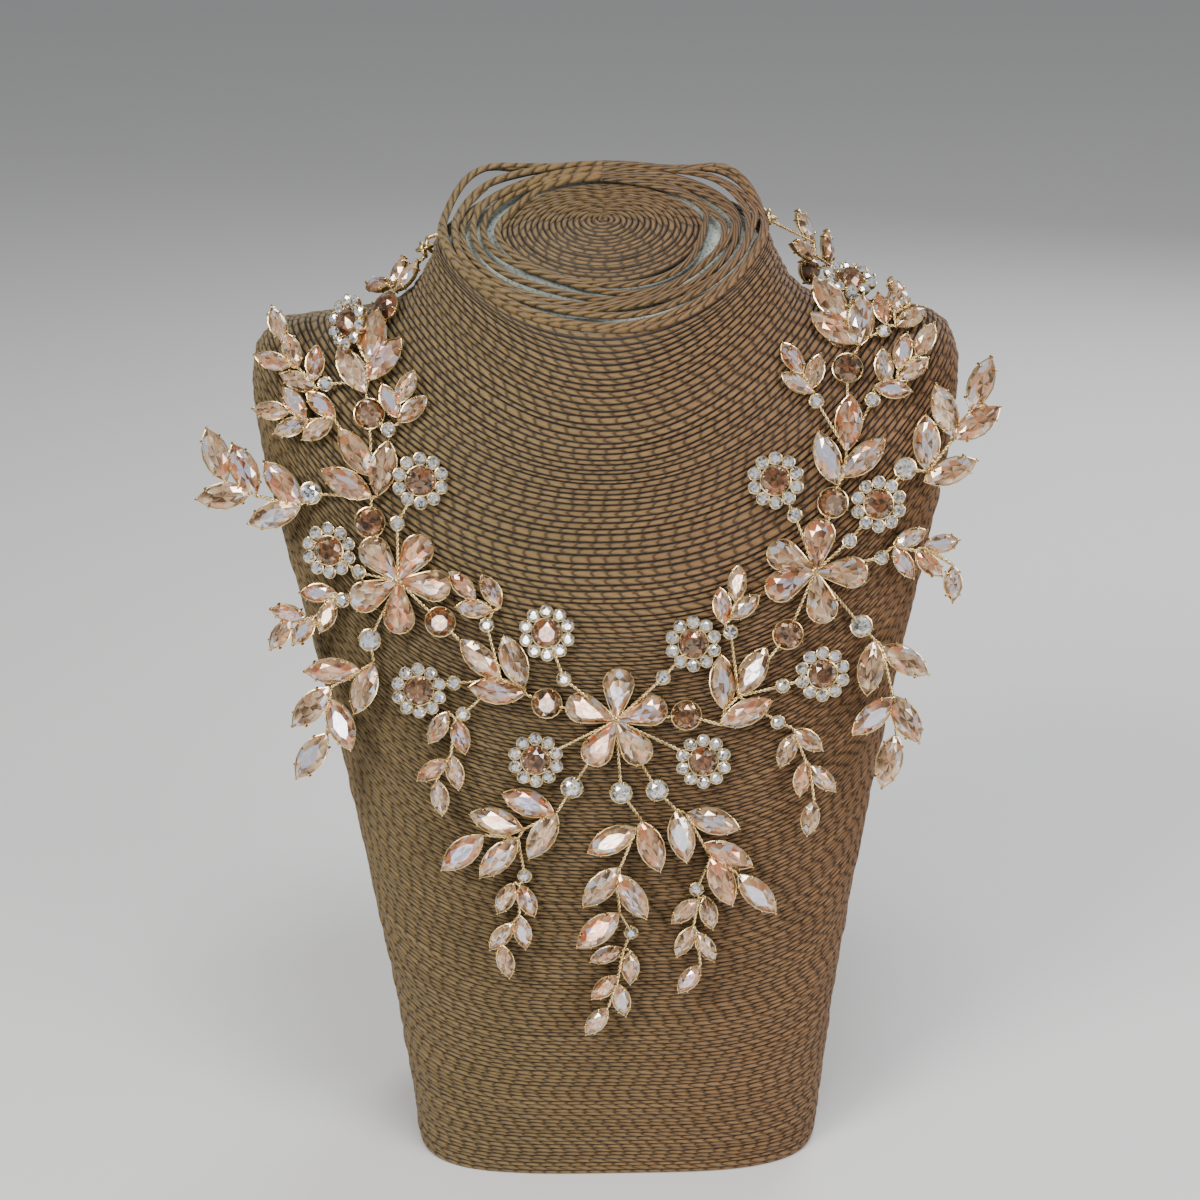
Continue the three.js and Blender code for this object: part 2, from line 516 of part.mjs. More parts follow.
function roundSolid(size, sides, grow) {
  const radius = size.width / 2 + grow;
  const half = Math.PI / sides;
  const outline = ovalPoints(sides, radius, radius);
  const table = ovalPoints(sides / 2, ROUND_TABLE * radius, ROUND_TABLE * radius, half);
  const back = ovalPoints(sides / 2, ROUND_BACK * radius, ROUND_BACK * radius, half);
  return stoneSolid(outline, table, back, size.crown, grow);
}

// A round stone in a ring of small ones, all in one setting: the ring's stones meet in shallow grooves
function clusterSolid(grow) {
  const outer = CLUSTER_WIDTH / 2 + grow;
  const inner = CLUSTER_CENTRE_WIDTH / 2;
  const pitch = FULL_TURN / CLUSTER_STONES;
  const positions = [];
  const point = (radius, angle, height) => {
    positions.push(radius * Math.cos(angle), radius * Math.sin(angle), height);
    return positions.length / 3 - 1;
  };
  const low = GIRDLE_HEIGHT;
  const ringTop = low + SMALL_CLEAR.crown + grow;
  const top = low + CHATON.crown + grow;
  const middle = (outer + inner) / 2;
  const reach = (outer - inner) * CLUSTER_TABLE;
  const cells = Array.from({ length: CLUSTER_STONES }, (_, k) => {
    const angle = k * pitch;
    const half = angle + pitch / 2;
    return {
      groove: point(inner, angle, low),
      notch: point(outer * CLUSTER_NOTCH, angle, low),
      left: point(outer, angle + pitch * CLUSTER_BULGE, low),
      right: point(outer, angle + pitch * (1 - CLUSTER_BULGE), low),
      tip: point(middle + reach, half, ringTop),
      before: point(middle - reach, half - pitch * CLUSTER_BULGE, ringTop),
      after: point(middle - reach, half + pitch * CLUSTER_BULGE, ringTop),
      table: point(inner * ROUND_TABLE, half, top),
      foot: point(outer * ROUND_BACK, half, -grow),
    };
  });
  const topMiddle = point(0, 0, top);
  const footMiddle = point(0, 0, -grow);
  const index = cells.flatMap((c, k) => {
    const next = cells[(k + 1) % CLUSTER_STONES];
    return [
      [c.left, c.right, c.tip], [c.right, next.notch, c.tip], [next.notch, c.after, c.tip],
      [next.notch, next.groove, c.after], [next.groove, c.groove, c.after], [c.groove, c.before, c.after],
      [c.groove, c.notch, c.before], [c.notch, c.left, c.before], [c.left, c.tip, c.before],
      [c.before, c.tip, c.after],
      [c.groove, next.groove, c.table], [next.groove, next.table, c.table], [c.table, next.table, topMiddle],
      [c.right, c.left, c.foot], [c.left, c.notch, c.foot], [next.notch, c.right, c.foot],
      [next.notch, c.foot, next.foot], [next.foot, c.foot, footMiddle],
    ];
  });
  const geometry = new THREE.BufferGeometry();
  geometry.setAttribute("position", new THREE.Float32BufferAttribute(positions, 3));
  geometry.setIndex(index.flat());
  return toSolid(geometry);
}

// A line bent at the given points, with one step of its length for each straight
class BentLine extends THREE.Curve {
  constructor(points) {
    super();
    this.points = points;
  }

  getPoint(t, target = new THREE.Vector3()) {
    const place = t * (this.points.length - 1);
    const k = Math.min(Math.floor(place), this.points.length - 2);
    return target.lerpVectors(this.points[k], this.points[k + 1], place - k);
  }

  getUtoTmapping(u) {
    return u;
  }
}

// A wire through the given points
function wireSolid(points, grow) {
  const radius = WIRE_THICKNESS / 2 + grow;
  const section = new THREE.Shape(ovalPoints(WIRE_SIDES, radius, radius).map(([x, y]) => new THREE.Vector2(x, y)));
  const extrudePath = new BentLine(points);
  return toSolid(new THREE.ExtrudeGeometry(section, { steps: points.length - 1, bevelEnabled: false, extrudePath }));
}

function placed(solid, matrix) {
  return solid.transform(matrix.elements);
}

// Every motif with all its stones: the solid, where it goes, and the pieces' own wires

const ENTRIES = [
  ...FLOWERS.map((entry) => ({ ...entry, kind: "flower", root: entry.middle })),
  ...CLUSTERS.map((entry) => ({ ...entry, kind: "cluster", root: entry.middle })),
  ...CHATONS.map((entry) => ({ ...entry, kind: "chaton", root: entry.middle })),
  ...TRIOS.map((entry) => ({ ...entry, kind: "leaves", star: true })),
  ...SPRAYS.map((entry) => ({ ...entry, kind: "leaves" })),
];

function leafPlaces(entry, plane) {
  return entry.leaves.map((row, k) => {
    const { innerX, innerY, outerX, outerY } = named(LEAF_COLUMNS, row);
    const inner = onPlane(plane, [innerX, innerY]);
    const heading = onPlane(plane, [outerX, outerY]).sub(inner).normalize();
    const middle = inner.clone().addScaledVector(heading, entry.leaf.length / 2 - LEAF_OVERLAP);
    return { inner, heading, middle, roll: k % 2 === 0 ? LEAF_ROLL : -LEAF_ROLL };
  });
}

function stonesOf(entry, plane, grow) {
  const at = (place, heading, roll) => placement(plane, place, heading, roll);
  const upright = new THREE.Vector3(1, 0, 0);
  const stones = [];
  if (entry.kind === "flower") {
    const middle = onPlane(plane, entry.middle);
    for (const end of entry.ends) {
      const heading = onPlane(plane, end).sub(middle).normalize();
      const place = middle.clone().addScaledVector(heading, PETAL.length / 2 - LEAF_OVERLAP);
      stones.push(placed(petalSolid(PETAL, grow), at(place, heading)));
    }
    stones.push(placed(roundSolid(FLOWER_KNOT, CLEAR_SIDES, grow), at(middle, upright)));
  }
  if (entry.kind === "cluster") {
    stones.push(placed(clusterSolid(grow), at(onPlane(plane, entry.middle), upright)));
  }
  if (entry.kind === "chaton") {
    stones.push(placed(roundSolid(CHATON, CHATON_SIDES, grow), at(onPlane(plane, entry.middle), upright)));
  }
  if (entry.kind === "leaves") {
    for (const { middle, heading, roll } of leafPlaces(entry, plane)) {
      stones.push(placed(leafSolid(entry.leaf, grow), at(middle, heading, roll)));
    }
  }
  for (const place of entry.clear ?? []) {
    stones.push(placed(roundSolid(SMALL_CLEAR, CLEAR_SIDES, grow), at(onPlane(plane, place), upright)));
  }
  for (const place of entry.wide ?? []) {
    stones.push(placed(roundSolid(LARGE_CLEAR, CLEAR_SIDES, grow), at(onPlane(plane, place), upright)));
  }
  return stones;
}

// The plane moved until the lowest corner of the motif is one seat gap over the bust, or only raised for
// a motif that hangs from a ring. A corner moves along its line of sight, so its height changes by the
// slope between that line and both surfaces.
function settledPlane(entry) {
  const plane = motifPlane(entry);
  const near = SPOTS.filter((spot) => spot.point.distanceTo(plane.origin) < MOTIF_REACH);
  for (let round = 0; round <= SETTLING_ROUNDS; round += 1) {
    let lift = entry.ring || round === SETTLING_ROUNDS ? 0 : -Infinity;
    for (const stone of stonesOf(entry, plane, 0)) {
      const corners = stone.getMesh().vertProperties;
      for (let v = 0; v < corners.length; v += 3) {
        const corner = new THREE.Vector3(corners[v], corners[v + 1], corners[v + 2]);
        const spot = nearest(near, (s) => s.point.distanceToSquared(corner));
        const towardsEye = EYE.clone().sub(corner);
        const slope = towardsEye.dot(spot.normal) / towardsEye.dot(plane.normal);
        const height = corner.sub(spot.point).dot(spot.normal);
        lift = Math.max(lift, (SEAT_GAP - height) / Math.max(slope, LEAST_SLOPE));
      }
    }
    plane.origin.addScaledVector(plane.normal, lift);
  }
  return plane;
}

const motifs = new Map(ENTRIES.map((entry) => [entry.name, { entry, plane: settledPlane(entry) }]));

// The wires that join a motif's own leaves
function stemsOf(entry, plane, grow) {
  const root = onPlane(plane, entry.root, GIRDLE_HEIGHT);
  const joints = (entry.kind === "leaves" ? leafPlaces(entry, plane) : []).map(({ inner, heading }) =>
    inner.clone().addScaledVector(heading, STEM_INSET).addScaledVector(plane.normal, GIRDLE_HEIGHT));
  const stems = entry.star ? joints.map((joint) => [root, joint]) : [[root, ...joints]];
  return stems
    .map((stem) => stem.filter((point, k) => k === 0 || point.distanceTo(stem[k - 1]) > SHORTEST_SPAN))
    .filter((bends) => bends.length > 1)
    .map((bends) => wireSolid(bends, grow));
}

// The wires that run from a motif to the motifs that it holds
function tiesOf(entry, plane, grow) {
  const root = onPlane(plane, entry.root, GIRDLE_HEIGHT);
  return (entry.holds ?? []).map(([name, px, py]) => {
    const through = (entry.kind === "cluster" ? entry.clear : []).map((place) => onPlane(plane, place, GIRDLE_HEIGHT));
    const end = onPlane(motifs.get(name).plane, [px, py], GIRDLE_HEIGHT);
    return wireSolid([root, ...through, end], grow);
  });
}

// The chain round the back of the neck

function ringSolid(grow) {
  return toSolid(new THREE.TorusGeometry((RING_WIDTH - LINK_WIRE) / 2, LINK_WIRE / 2 + grow, LINK_WIRE_SIDES, LINK_SIDES));
}

// A link: a ring whose two halves are drawn apart along X
function linkSolid(length) {
  const geometry = new THREE.TorusGeometry((LINK_WIDTH - LINK_WIRE) / 2, LINK_WIRE / 2, LINK_WIRE_SIDES, LINK_SIDES);
  const position = geometry.attributes.position;
  for (let v = 0; v < position.count; v += 1) {
    position.setX(v, position.getX(v) + (Math.sign(position.getX(v)) * (length - LINK_WIDTH)) / 2);
  }
  return toSolid(geometry);
}

function chainPath() {
  const [left, right] = ["trio_left_back", "trio_right_back"].map((name) => spotInPicture(motifs.get(name).entry.ring));
  const points = Array.from({ length: CHAIN_POINTS + 1 }, (_, k) => {
    const part = k / CHAIN_POINTS;
    const turn = THREE.MathUtils.lerp(left.turn, right.turn, part) - CHAIN_DROP * Math.sin(Math.PI * part);
    const angle = THREE.MathUtils.lerp(left.angle, right.angle > Math.PI ? right.angle - FULL_TURN : right.angle, part);
    const spot = bustSpot(turnAt(turn), turnAt(turn + SPOT_STEP / 4), angle);
    return spot.point.addScaledVector(spot.normal, CHAIN_LIFT);
  });
  return new THREE.CatmullRomCurve3(points);
}

function chainPlace(path, distance, roll) {
  const part = THREE.MathUtils.clamp(distance / path.getLength(), 0, 1);
  const at = path.getPointAt(part);
  const normal = nearest(SPOTS, (spot) => spot.point.distanceToSquared(at)).normal;
  return placement({ normal }, at, path.getTangentAt(part), roll);
}

const chain = chainPath();
const ringReach = (RING_WIDTH - LINK_WIRE) / 2;
const halfChain = chain.getLength() / 2 - CLASP_LENGTH / 2 - ringReach;
const linkGrip = 2 * LINK_WIRE - LINK_BITE;
const linkRoom = halfChain - 2 * ringReach + 3 * LINK_WIRE + 2 * CLEARANCE - linkGrip;
const linkCount = Math.max(2, Math.round(linkRoom / (LINK_LENGTH - linkGrip)));
const linkLength = linkRoom / linkCount + linkGrip;
const linkPitch = linkLength - linkGrip;
const firstLink = ringReach + (linkLength - LINK_WIRE) / 2 - LINK_WIRE - CLEARANCE;
const rollOf = (k) => (k % 2 === 0 ? 1 : -1) * (Math.PI / 4);

function chainSolid(fromStart) {
  const links = Array.from({ length: linkCount }, (_, k) => {
    const distance = firstLink + k * linkPitch;
    const along = fromStart ? distance : chain.getLength() - distance;
    return placed(linkSolid(linkLength), chainPlace(chain, along, rollOf(k)));
  });
  return largestPiece(join(links));
}

function claspSolid() {
  const middle = chain.getLength() / 2;
  const barrel = new THREE.CylinderGeometry(CLASP_WIDTH / 2, CLASP_WIDTH / 2, CLASP_LENGTH, LINK_SIDES);
  barrel.rotateZ(Math.PI / 2).scale(1, 1, CLASP_THICKNESS / CLASP_WIDTH);
  const eyes = [-1, 1].map((end) => {
    const distance = middle + end * (CLASP_LENGTH / 2 + ringReach);
    return placed(ringSolid(0), chainPlace(chain, distance, rollOf(linkCount)));
  });
  return largestPiece(join([placed(toSolid(barrel), chainPlace(chain, middle, 0)), ...eyes]));
}

// The end ring of a back motif, and the wire from its leaves to the nearest place on the ring
function endRing(name, grow) {
  const { entry, plane } = motifs.get(name);
  const along = name === "trio_left_back" ? 0 : chain.getLength();
  const place = chainPlace(chain, along, rollOf(1));
  const root = onPlane(plane, entry.root, GIRDLE_HEIGHT);
  const near = root.clone().applyMatrix4(place.clone().invert()).setZ(0).setLength(ringReach).applyMatrix4(place);
  return join([placed(ringSolid(grow), place), wireSolid([root, near], grow)]);
}

// Stones and their stems first, then ties that stop short of every other piece

function bodyOf({ entry, plane }, grow) {
  const ring = entry.ring ? [endRing(entry.name, grow)] : [];
  return join([...stonesOf(entry, plane, grow), ...stemsOf(entry, plane, grow), ...ring]);
}

const bustSpace = toSolid(bustGeometry(CLEARANCE));
const pieces = [...motifs.values()].map((motif) => ({
  name: motif.entry.name,
  kind: motif.entry.kind,
  body: bodyOf(motif, 0),
  space: bodyOf(motif, CLEARANCE),
  ties: tiesOf(motif.entry, motif.plane, 0),
  tieSpace: tiesOf(motif.entry, motif.plane, CLEARANCE),
}));

function finished(piece, order) {
  const others = pieces.filter((other) => other !== piece);
  const earlier = pieces.slice(0, order);
  const body = cutBy(piece.body, [bustSpace, ...earlier.map((other) => other.space)]);
  const obstacles = [bustSpace, ...others.map((other) => other.space), ...earlier.flatMap((other) => other.tieSpace)];
  const ties = piece.ties.map((tie) => cutBy(tie, obstacles));
  return largestPiece(join([body, ...ties]).simplify(FINEST_EDGE));
}

const MATERIALS = { flower: CHAMPAGNE, cluster: CLEAR, chaton: AMBER, leaves: CHAMPAGNE };
const group = new THREE.Group();

function addMesh(name, geometry, material) {
  const mesh = new THREE.Mesh(geometry, material);
  mesh.name = name;
  group.add(mesh);
}

addMesh("neck_bust", bustGeometry(0), CORD);
pieces.forEach((piece, order) => {
  addMesh(piece.name, toGeometry(finished(piece, order)), MATERIALS[piece.kind]);
});
addMesh("chain_left", toGeometry(chainSolid(true)), GOLD);
addMesh("chain_right", toGeometry(chainSolid(false)), GOLD);
addMesh("clasp", toGeometry(claspSolid()), GOLD);

export default group;
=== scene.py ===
"""Bib necklace of cut stones on a cord-wound neck bust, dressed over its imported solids.

The bust is wound again row by row with twisted paper cord. Every motif is set again with faceted
stones in claw settings, at the places that its own solid gives, and twisted wire, a chain and a
clasp join the motifs. All lengths are in metres.
"""

from __future__ import annotations

import json
import logging
import math
import sys
from collections.abc import Iterator
from contextlib import contextmanager
from dataclasses import dataclass, field
from enum import Enum

import bmesh
import bpy
import numpy as np
from mathutils import Matrix, Vector

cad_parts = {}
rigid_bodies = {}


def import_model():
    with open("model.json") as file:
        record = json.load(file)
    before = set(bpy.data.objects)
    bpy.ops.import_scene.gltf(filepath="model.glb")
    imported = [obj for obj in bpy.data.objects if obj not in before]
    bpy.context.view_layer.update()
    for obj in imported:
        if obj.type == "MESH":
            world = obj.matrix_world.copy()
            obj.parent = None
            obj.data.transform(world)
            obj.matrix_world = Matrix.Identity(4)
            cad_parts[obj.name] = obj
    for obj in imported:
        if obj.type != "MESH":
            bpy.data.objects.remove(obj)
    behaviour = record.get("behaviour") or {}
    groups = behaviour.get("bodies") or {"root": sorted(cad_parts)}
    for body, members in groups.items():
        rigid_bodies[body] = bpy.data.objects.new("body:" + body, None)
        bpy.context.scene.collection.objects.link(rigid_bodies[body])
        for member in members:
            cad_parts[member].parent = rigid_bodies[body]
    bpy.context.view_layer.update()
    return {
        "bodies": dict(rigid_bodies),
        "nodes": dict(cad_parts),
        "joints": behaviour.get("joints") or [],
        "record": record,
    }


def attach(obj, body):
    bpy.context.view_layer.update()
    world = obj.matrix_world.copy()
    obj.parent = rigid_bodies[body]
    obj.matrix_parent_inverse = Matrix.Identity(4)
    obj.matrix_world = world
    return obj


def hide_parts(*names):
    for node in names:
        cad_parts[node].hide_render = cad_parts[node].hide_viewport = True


log = logging.getLogger("necklace")

MM = 0.001
FULL_TURN = 2 * math.pi
GIRDLE_HEIGHT = 1.9 * MM
STONE_UV = "StoneFace"
CORD_UV = "CordRun"

Colour = tuple[float, float, float, float]

# Where the eye is, what it looks at, and where that point lies in the picture of 1200 dots
EYE = Vector((0.0, -0.6098, 0.3878))
AIM = Vector((0.0, -0.046, 0.1826))
PICTURE_DOTS = 1200
PICTURE_MIDDLE = (609.0, 600.0)
DOT_AT_AIM = 0.27 * MM
PICTURE_LEAN = 0.016
CAMERA_ROLL = math.atan(PICTURE_LEAN)

# The motifs that each motif is wired to: first those on both sides, then those without a twin
PAIRED_TIES: dict[str, tuple[str, ...]] = {
    "cluster_SIDE_neck": ("flower_SIDE",),
    "cluster_SIDE_outer": ("flower_SIDE",),
    "cluster_SIDE_inner": ("flower_centre",),
    "cluster_SIDE_lower": ("trio_SIDE_chest",),
    "cluster_SIDE_centre": ("flower_centre",),
    "cluster_SIDE_shoulder": ("trio_SIDE_neck",),
    "stone_SIDE_1": ("trio_SIDE_neck", "trio_SIDE_back"),
    "stone_SIDE_2": ("trio_SIDE_neck", "trio_SIDE_shoulder"),
    "stone_SIDE_3": ("trio_SIDE_shoulder", "flower_SIDE"),
    "stone_SIDE_4": ("flower_SIDE", "trio_SIDE_chest"),
    "stone_SIDE_5": ("trio_SIDE_chest", "flower_centre"),
    "small_trio_SIDE_chest": ("trio_SIDE_chest",),
    "spray_centre_SIDE": ("flower_centre",),
    "spray_SIDE_lower": ("flower_SIDE",),
    "sprig_SIDE_outer": ("flower_SIDE",),
    "sprig_SIDE_lower": ("trio_SIDE_chest",),
    "sprig_centre_SIDE": ("spray_centre_SIDE",),
}
TIES: dict[str, tuple[str, ...]] = {
    name.replace("SIDE", side): tuple(other.replace("SIDE", side) for other in others)
    for side in ("left", "right")
    for name, others in PAIRED_TIES.items()
} | {
    "small_trio_left_shoulder": ("stone_left_2",),
    "small_trio_right_shoulder": ("trio_right_shoulder",),
    "spray_centre": ("flower_centre",),
    "spray_left_outer": ("trio_left_shoulder",),
    "spray_right_outer": ("cluster_right_outer",),
    "sprig_left_upper": ("trio_left_neck",),
    "sprig_left_middle": ("trio_left_shoulder",),
    "sprig_right_upper": ("trio_right_shoulder",),
    "sprig_right_top": ("trio_right_neck",),
    "sprig_centre": ("spray_centre",),
}


def tone(red: int, green: int, blue: int) -> Colour:
    """Turns a colour of 0 to 255 a channel into the linear colour that a shader takes.

    Args:
        red: The red share.
        green: The green share.
        blue: The blue share.

    Returns:
        The linear colour with full alpha.
    """
    shares = (red / 255, green / 255, blue / 255)
    linear = [c / 12.92 if c <= 0.04045 else ((c + 0.055) / 1.055) ** 2.4 for c in shares]
    return (linear[0], linear[1], linear[2], 1.0)


def deselect_all() -> None:
    """Leaves nothing selected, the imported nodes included."""
    bpy.ops.object.select_all(action="DESELECT")


def activate(piece: bpy.types.Object) -> None:
    """Selects one piece alone and makes it the active one."""
    deselect_all()
    piece.select_set(True)
    bpy.context.view_layer.objects.active = piece


def joined(name: str, parts: list[bpy.types.Object]) -> bpy.types.Object:
    """Joins parts into one named piece at the origin.

    Args:
        name: The name of the piece and its mesh.
        parts: The mesh objects to join; the first one takes the others in.

    Returns:
        The joined piece.
    """
    activate(parts[0])
    for part in parts[1:]:
        part.select_set(True)
    if len(parts) > 1:
        bpy.ops.object.join()
    piece = bpy.context.view_layer.objects.active
    piece.name = name
    piece.data.name = name
    return piece


@contextmanager
def editing() -> Iterator[None]:
    """Holds the active piece in edit mode, with everything selected at first."""
    bpy.ops.object.mode_set(mode="EDIT")
    bpy.ops.mesh.select_all(action="SELECT")
    yield
    bpy.ops.object.mode_set(mode="OBJECT")


def face_outward() -> None:
    """Turns every face of the piece in edit mode outward."""
    bpy.ops.mesh.select_all(action="SELECT")
    bpy.ops.mesh.normals_make_consistent(inside=False)


def grid_through(points: np.ndarray) -> bpy.types.Object:
    """Makes a grid through rows and columns of points.

    Args:
        points: The points, one row after the other.

    Returns:
        The grid.
    """
    deselect_all()
    across, along = points.shape[1] - 1, len(points) - 1
    bpy.ops.mesh.primitive_grid_add(x_subdivisions=across, y_subdivisions=along, size=1.0)
    grid = bpy.context.object
    grid.data.vertices.foreach_set("co", points.reshape(-1, 3).ravel())
    return grid


def close_up(reach: float, fill: bool = True) -> None:
    """Merges the corners of the active piece that meet and turns its faces outward.

    Args:
        reach: How near two corners lie that are merged.
        fill: Whether its open ends are filled.
    """
    with editing():
        bpy.ops.mesh.remove_doubles(threshold=reach)
        if fill:
            bpy.ops.mesh.fill_holes(sides=0)
        face_outward()


def wire_mesh(
    name: str, radius: float, roundness: int, lines: list[list[tuple[Vector, float]]]
) -> bpy.types.Object:
    """Bends wires along lines of places.

    Args:
        name: The name of the mesh.
        radius: The wires' radius.
        roundness: The bevel resolution of the curve.
        lines: The places of each wire, each with its share of the radius.

    Returns:
        All the wires as one mesh.
    """
    curve = bpy.data.curves.new(name, "CURVE")
    curve.dimensions = "3D"
    curve.bevel_depth, curve.bevel_resolution = radius, roundness
    curve.use_fill_caps = True
    for line in lines:
        spline = curve.splines.new("POLY")
        spline.points.add(len(line) - 1)
        for point, (place, thickness) in zip(spline.points, line):
            point.co = (*place, 1.0)
            point.radius = thickness
    wires = bpy.data.objects.new(name, curve)
    bpy.context.scene.collection.objects.link(wires)
    activate(wires)
    bpy.ops.object.convert(target="MESH")
    bpy.ops.object.shade_smooth()
    return bpy.context.object


def standing(heading: Vector, facing: Vector) -> Matrix:
    """Gives the turn that brings X to a heading and Z to the way that a stone or a link faces."""
    return Matrix((heading, facing.cross(heading), facing)).transposed().to_4x4()


def handed_in(piece: bpy.types.Object, slot: str, *nodes: str) -> bpy.types.Object:
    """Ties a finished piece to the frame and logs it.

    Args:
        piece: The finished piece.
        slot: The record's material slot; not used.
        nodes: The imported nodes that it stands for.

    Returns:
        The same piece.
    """
    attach(piece, "root")
    if nodes:
        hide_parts(*nodes)
    piece.data.calc_loop_triangles()
    triangles = len(piece.data.loop_triangles)
    log.info("%s: %d triangles for %s", piece.name, triangles, ", ".join(nodes) or "no node")
    return piece


class NodeDesk:
    """Adds and links the nodes of one node tree."""

    def __init__(self, tree: bpy.types.NodeTree) -> None:
        """Starts work on a tree.

        Args:
            tree: The tree of a material or a node group.
        """
        self.tree = tree

    def add(
        self, kind: str, inputs: dict[str | int, object] | None = None, **settings: object
    ) -> bpy.types.Node:
        """Adds one node with its settings and its inputs.

        Args:
            kind: The node's type name.
            inputs: Values for its inputs, or output sockets to link to them.
            settings: Values for the node's own properties.

        Returns:
            The new node.
        """
        node = self.tree.nodes.new(kind)
        for key, value in settings.items():
            setattr(node, key, value)
        self.feed(node, inputs or {})
        return node

    def feed(self, node: bpy.types.Node, inputs: dict[str | int, object]) -> None:
        """Gives a node's inputs their values, or links them to output sockets."""
        for key, value in inputs.items():
            if isinstance(value, bpy.types.NodeSocket):
                self.tree.links.new(value, node.inputs[key])
            else:
                node.inputs[key].default_value = value

    def math(self, operation: str, *values: object) -> bpy.types.NodeSocket:
        """Adds a math node on up to three values or sockets and gives its output."""
        return self.add("ShaderNodeMath", dict(enumerate(values)), operation=operation).outputs[0]

    def mix(self, share: object, first: object, second: object, blend: str = "MIX") -> bpy.types.NodeSocket:
        """Adds a colour mix of two colours by a share and gives its output."""
        node = self.add("ShaderNodeMix", {0: share, 6: first, 7: second}, data_type="RGBA", blend_type=blend)
        return node.outputs[2]

    def ramp(self, value: object, low: float, high: float) -> bpy.types.NodeSocket:
        """Adds a smooth step of a value between two limits and gives its output."""
        node = self.add("ShaderNodeMapRange", {0: value, 1: low, 2: high}, interpolation_type="SMOOTHSTEP")
        return node.outputs[0]

    def chance(self, seed: object) -> bpy.types.NodeSocket:
        """Adds a chance value between 0 and 1 for a number."""
        return self.add("ShaderNodeTexWhiteNoise", {"W": seed}, noise_dimensions="1D").outputs["Value"]

    def attribute(self, name: str) -> bpy.types.NodeSocket:
        """Adds a reader of one of the piece's own number attributes."""
        return self.add("ShaderNodeAttribute", attribute_name=name, attribute_type="GEOMETRY").outputs["Fac"]


def new_group(
    name: str, inputs: dict[str, tuple[str, object]], outputs: dict[str, str]
) -> tuple[NodeDesk, bpy.types.Node, bpy.types.Node]:
    """Starts a shader node group.

    Args:
        name: The group's name.
        inputs: Socket type and usual value of each input.
        outputs: Socket type of each output.

    Returns:
        The desk of its tree, its input node and its output node.
    """
    tree = bpy.data.node_groups.new(name, "ShaderNodeTree")
    for key, (kind, usual) in inputs.items():
        socket = tree.interface.new_socket(name=key, in_out="INPUT", socket_type=kind)
        socket.default_value = usual
    for key, kind in outputs.items():
        tree.interface.new_socket(name=key, in_out="OUTPUT", socket_type=kind)
    desk = NodeDesk(tree)
    return desk, desk.add("NodeGroupInput"), desk.add("NodeGroupOutput")


def new_material(name: str) -> tuple[bpy.types.Material, NodeDesk, bpy.types.Node]:
    """Starts a material and gives it with its desk and its shader."""
    material = bpy.data.materials.new(name)
    material.use_nodes = True
    return material, NodeDesk(material.node_tree), material.node_tree.nodes["Principled BSDF"]


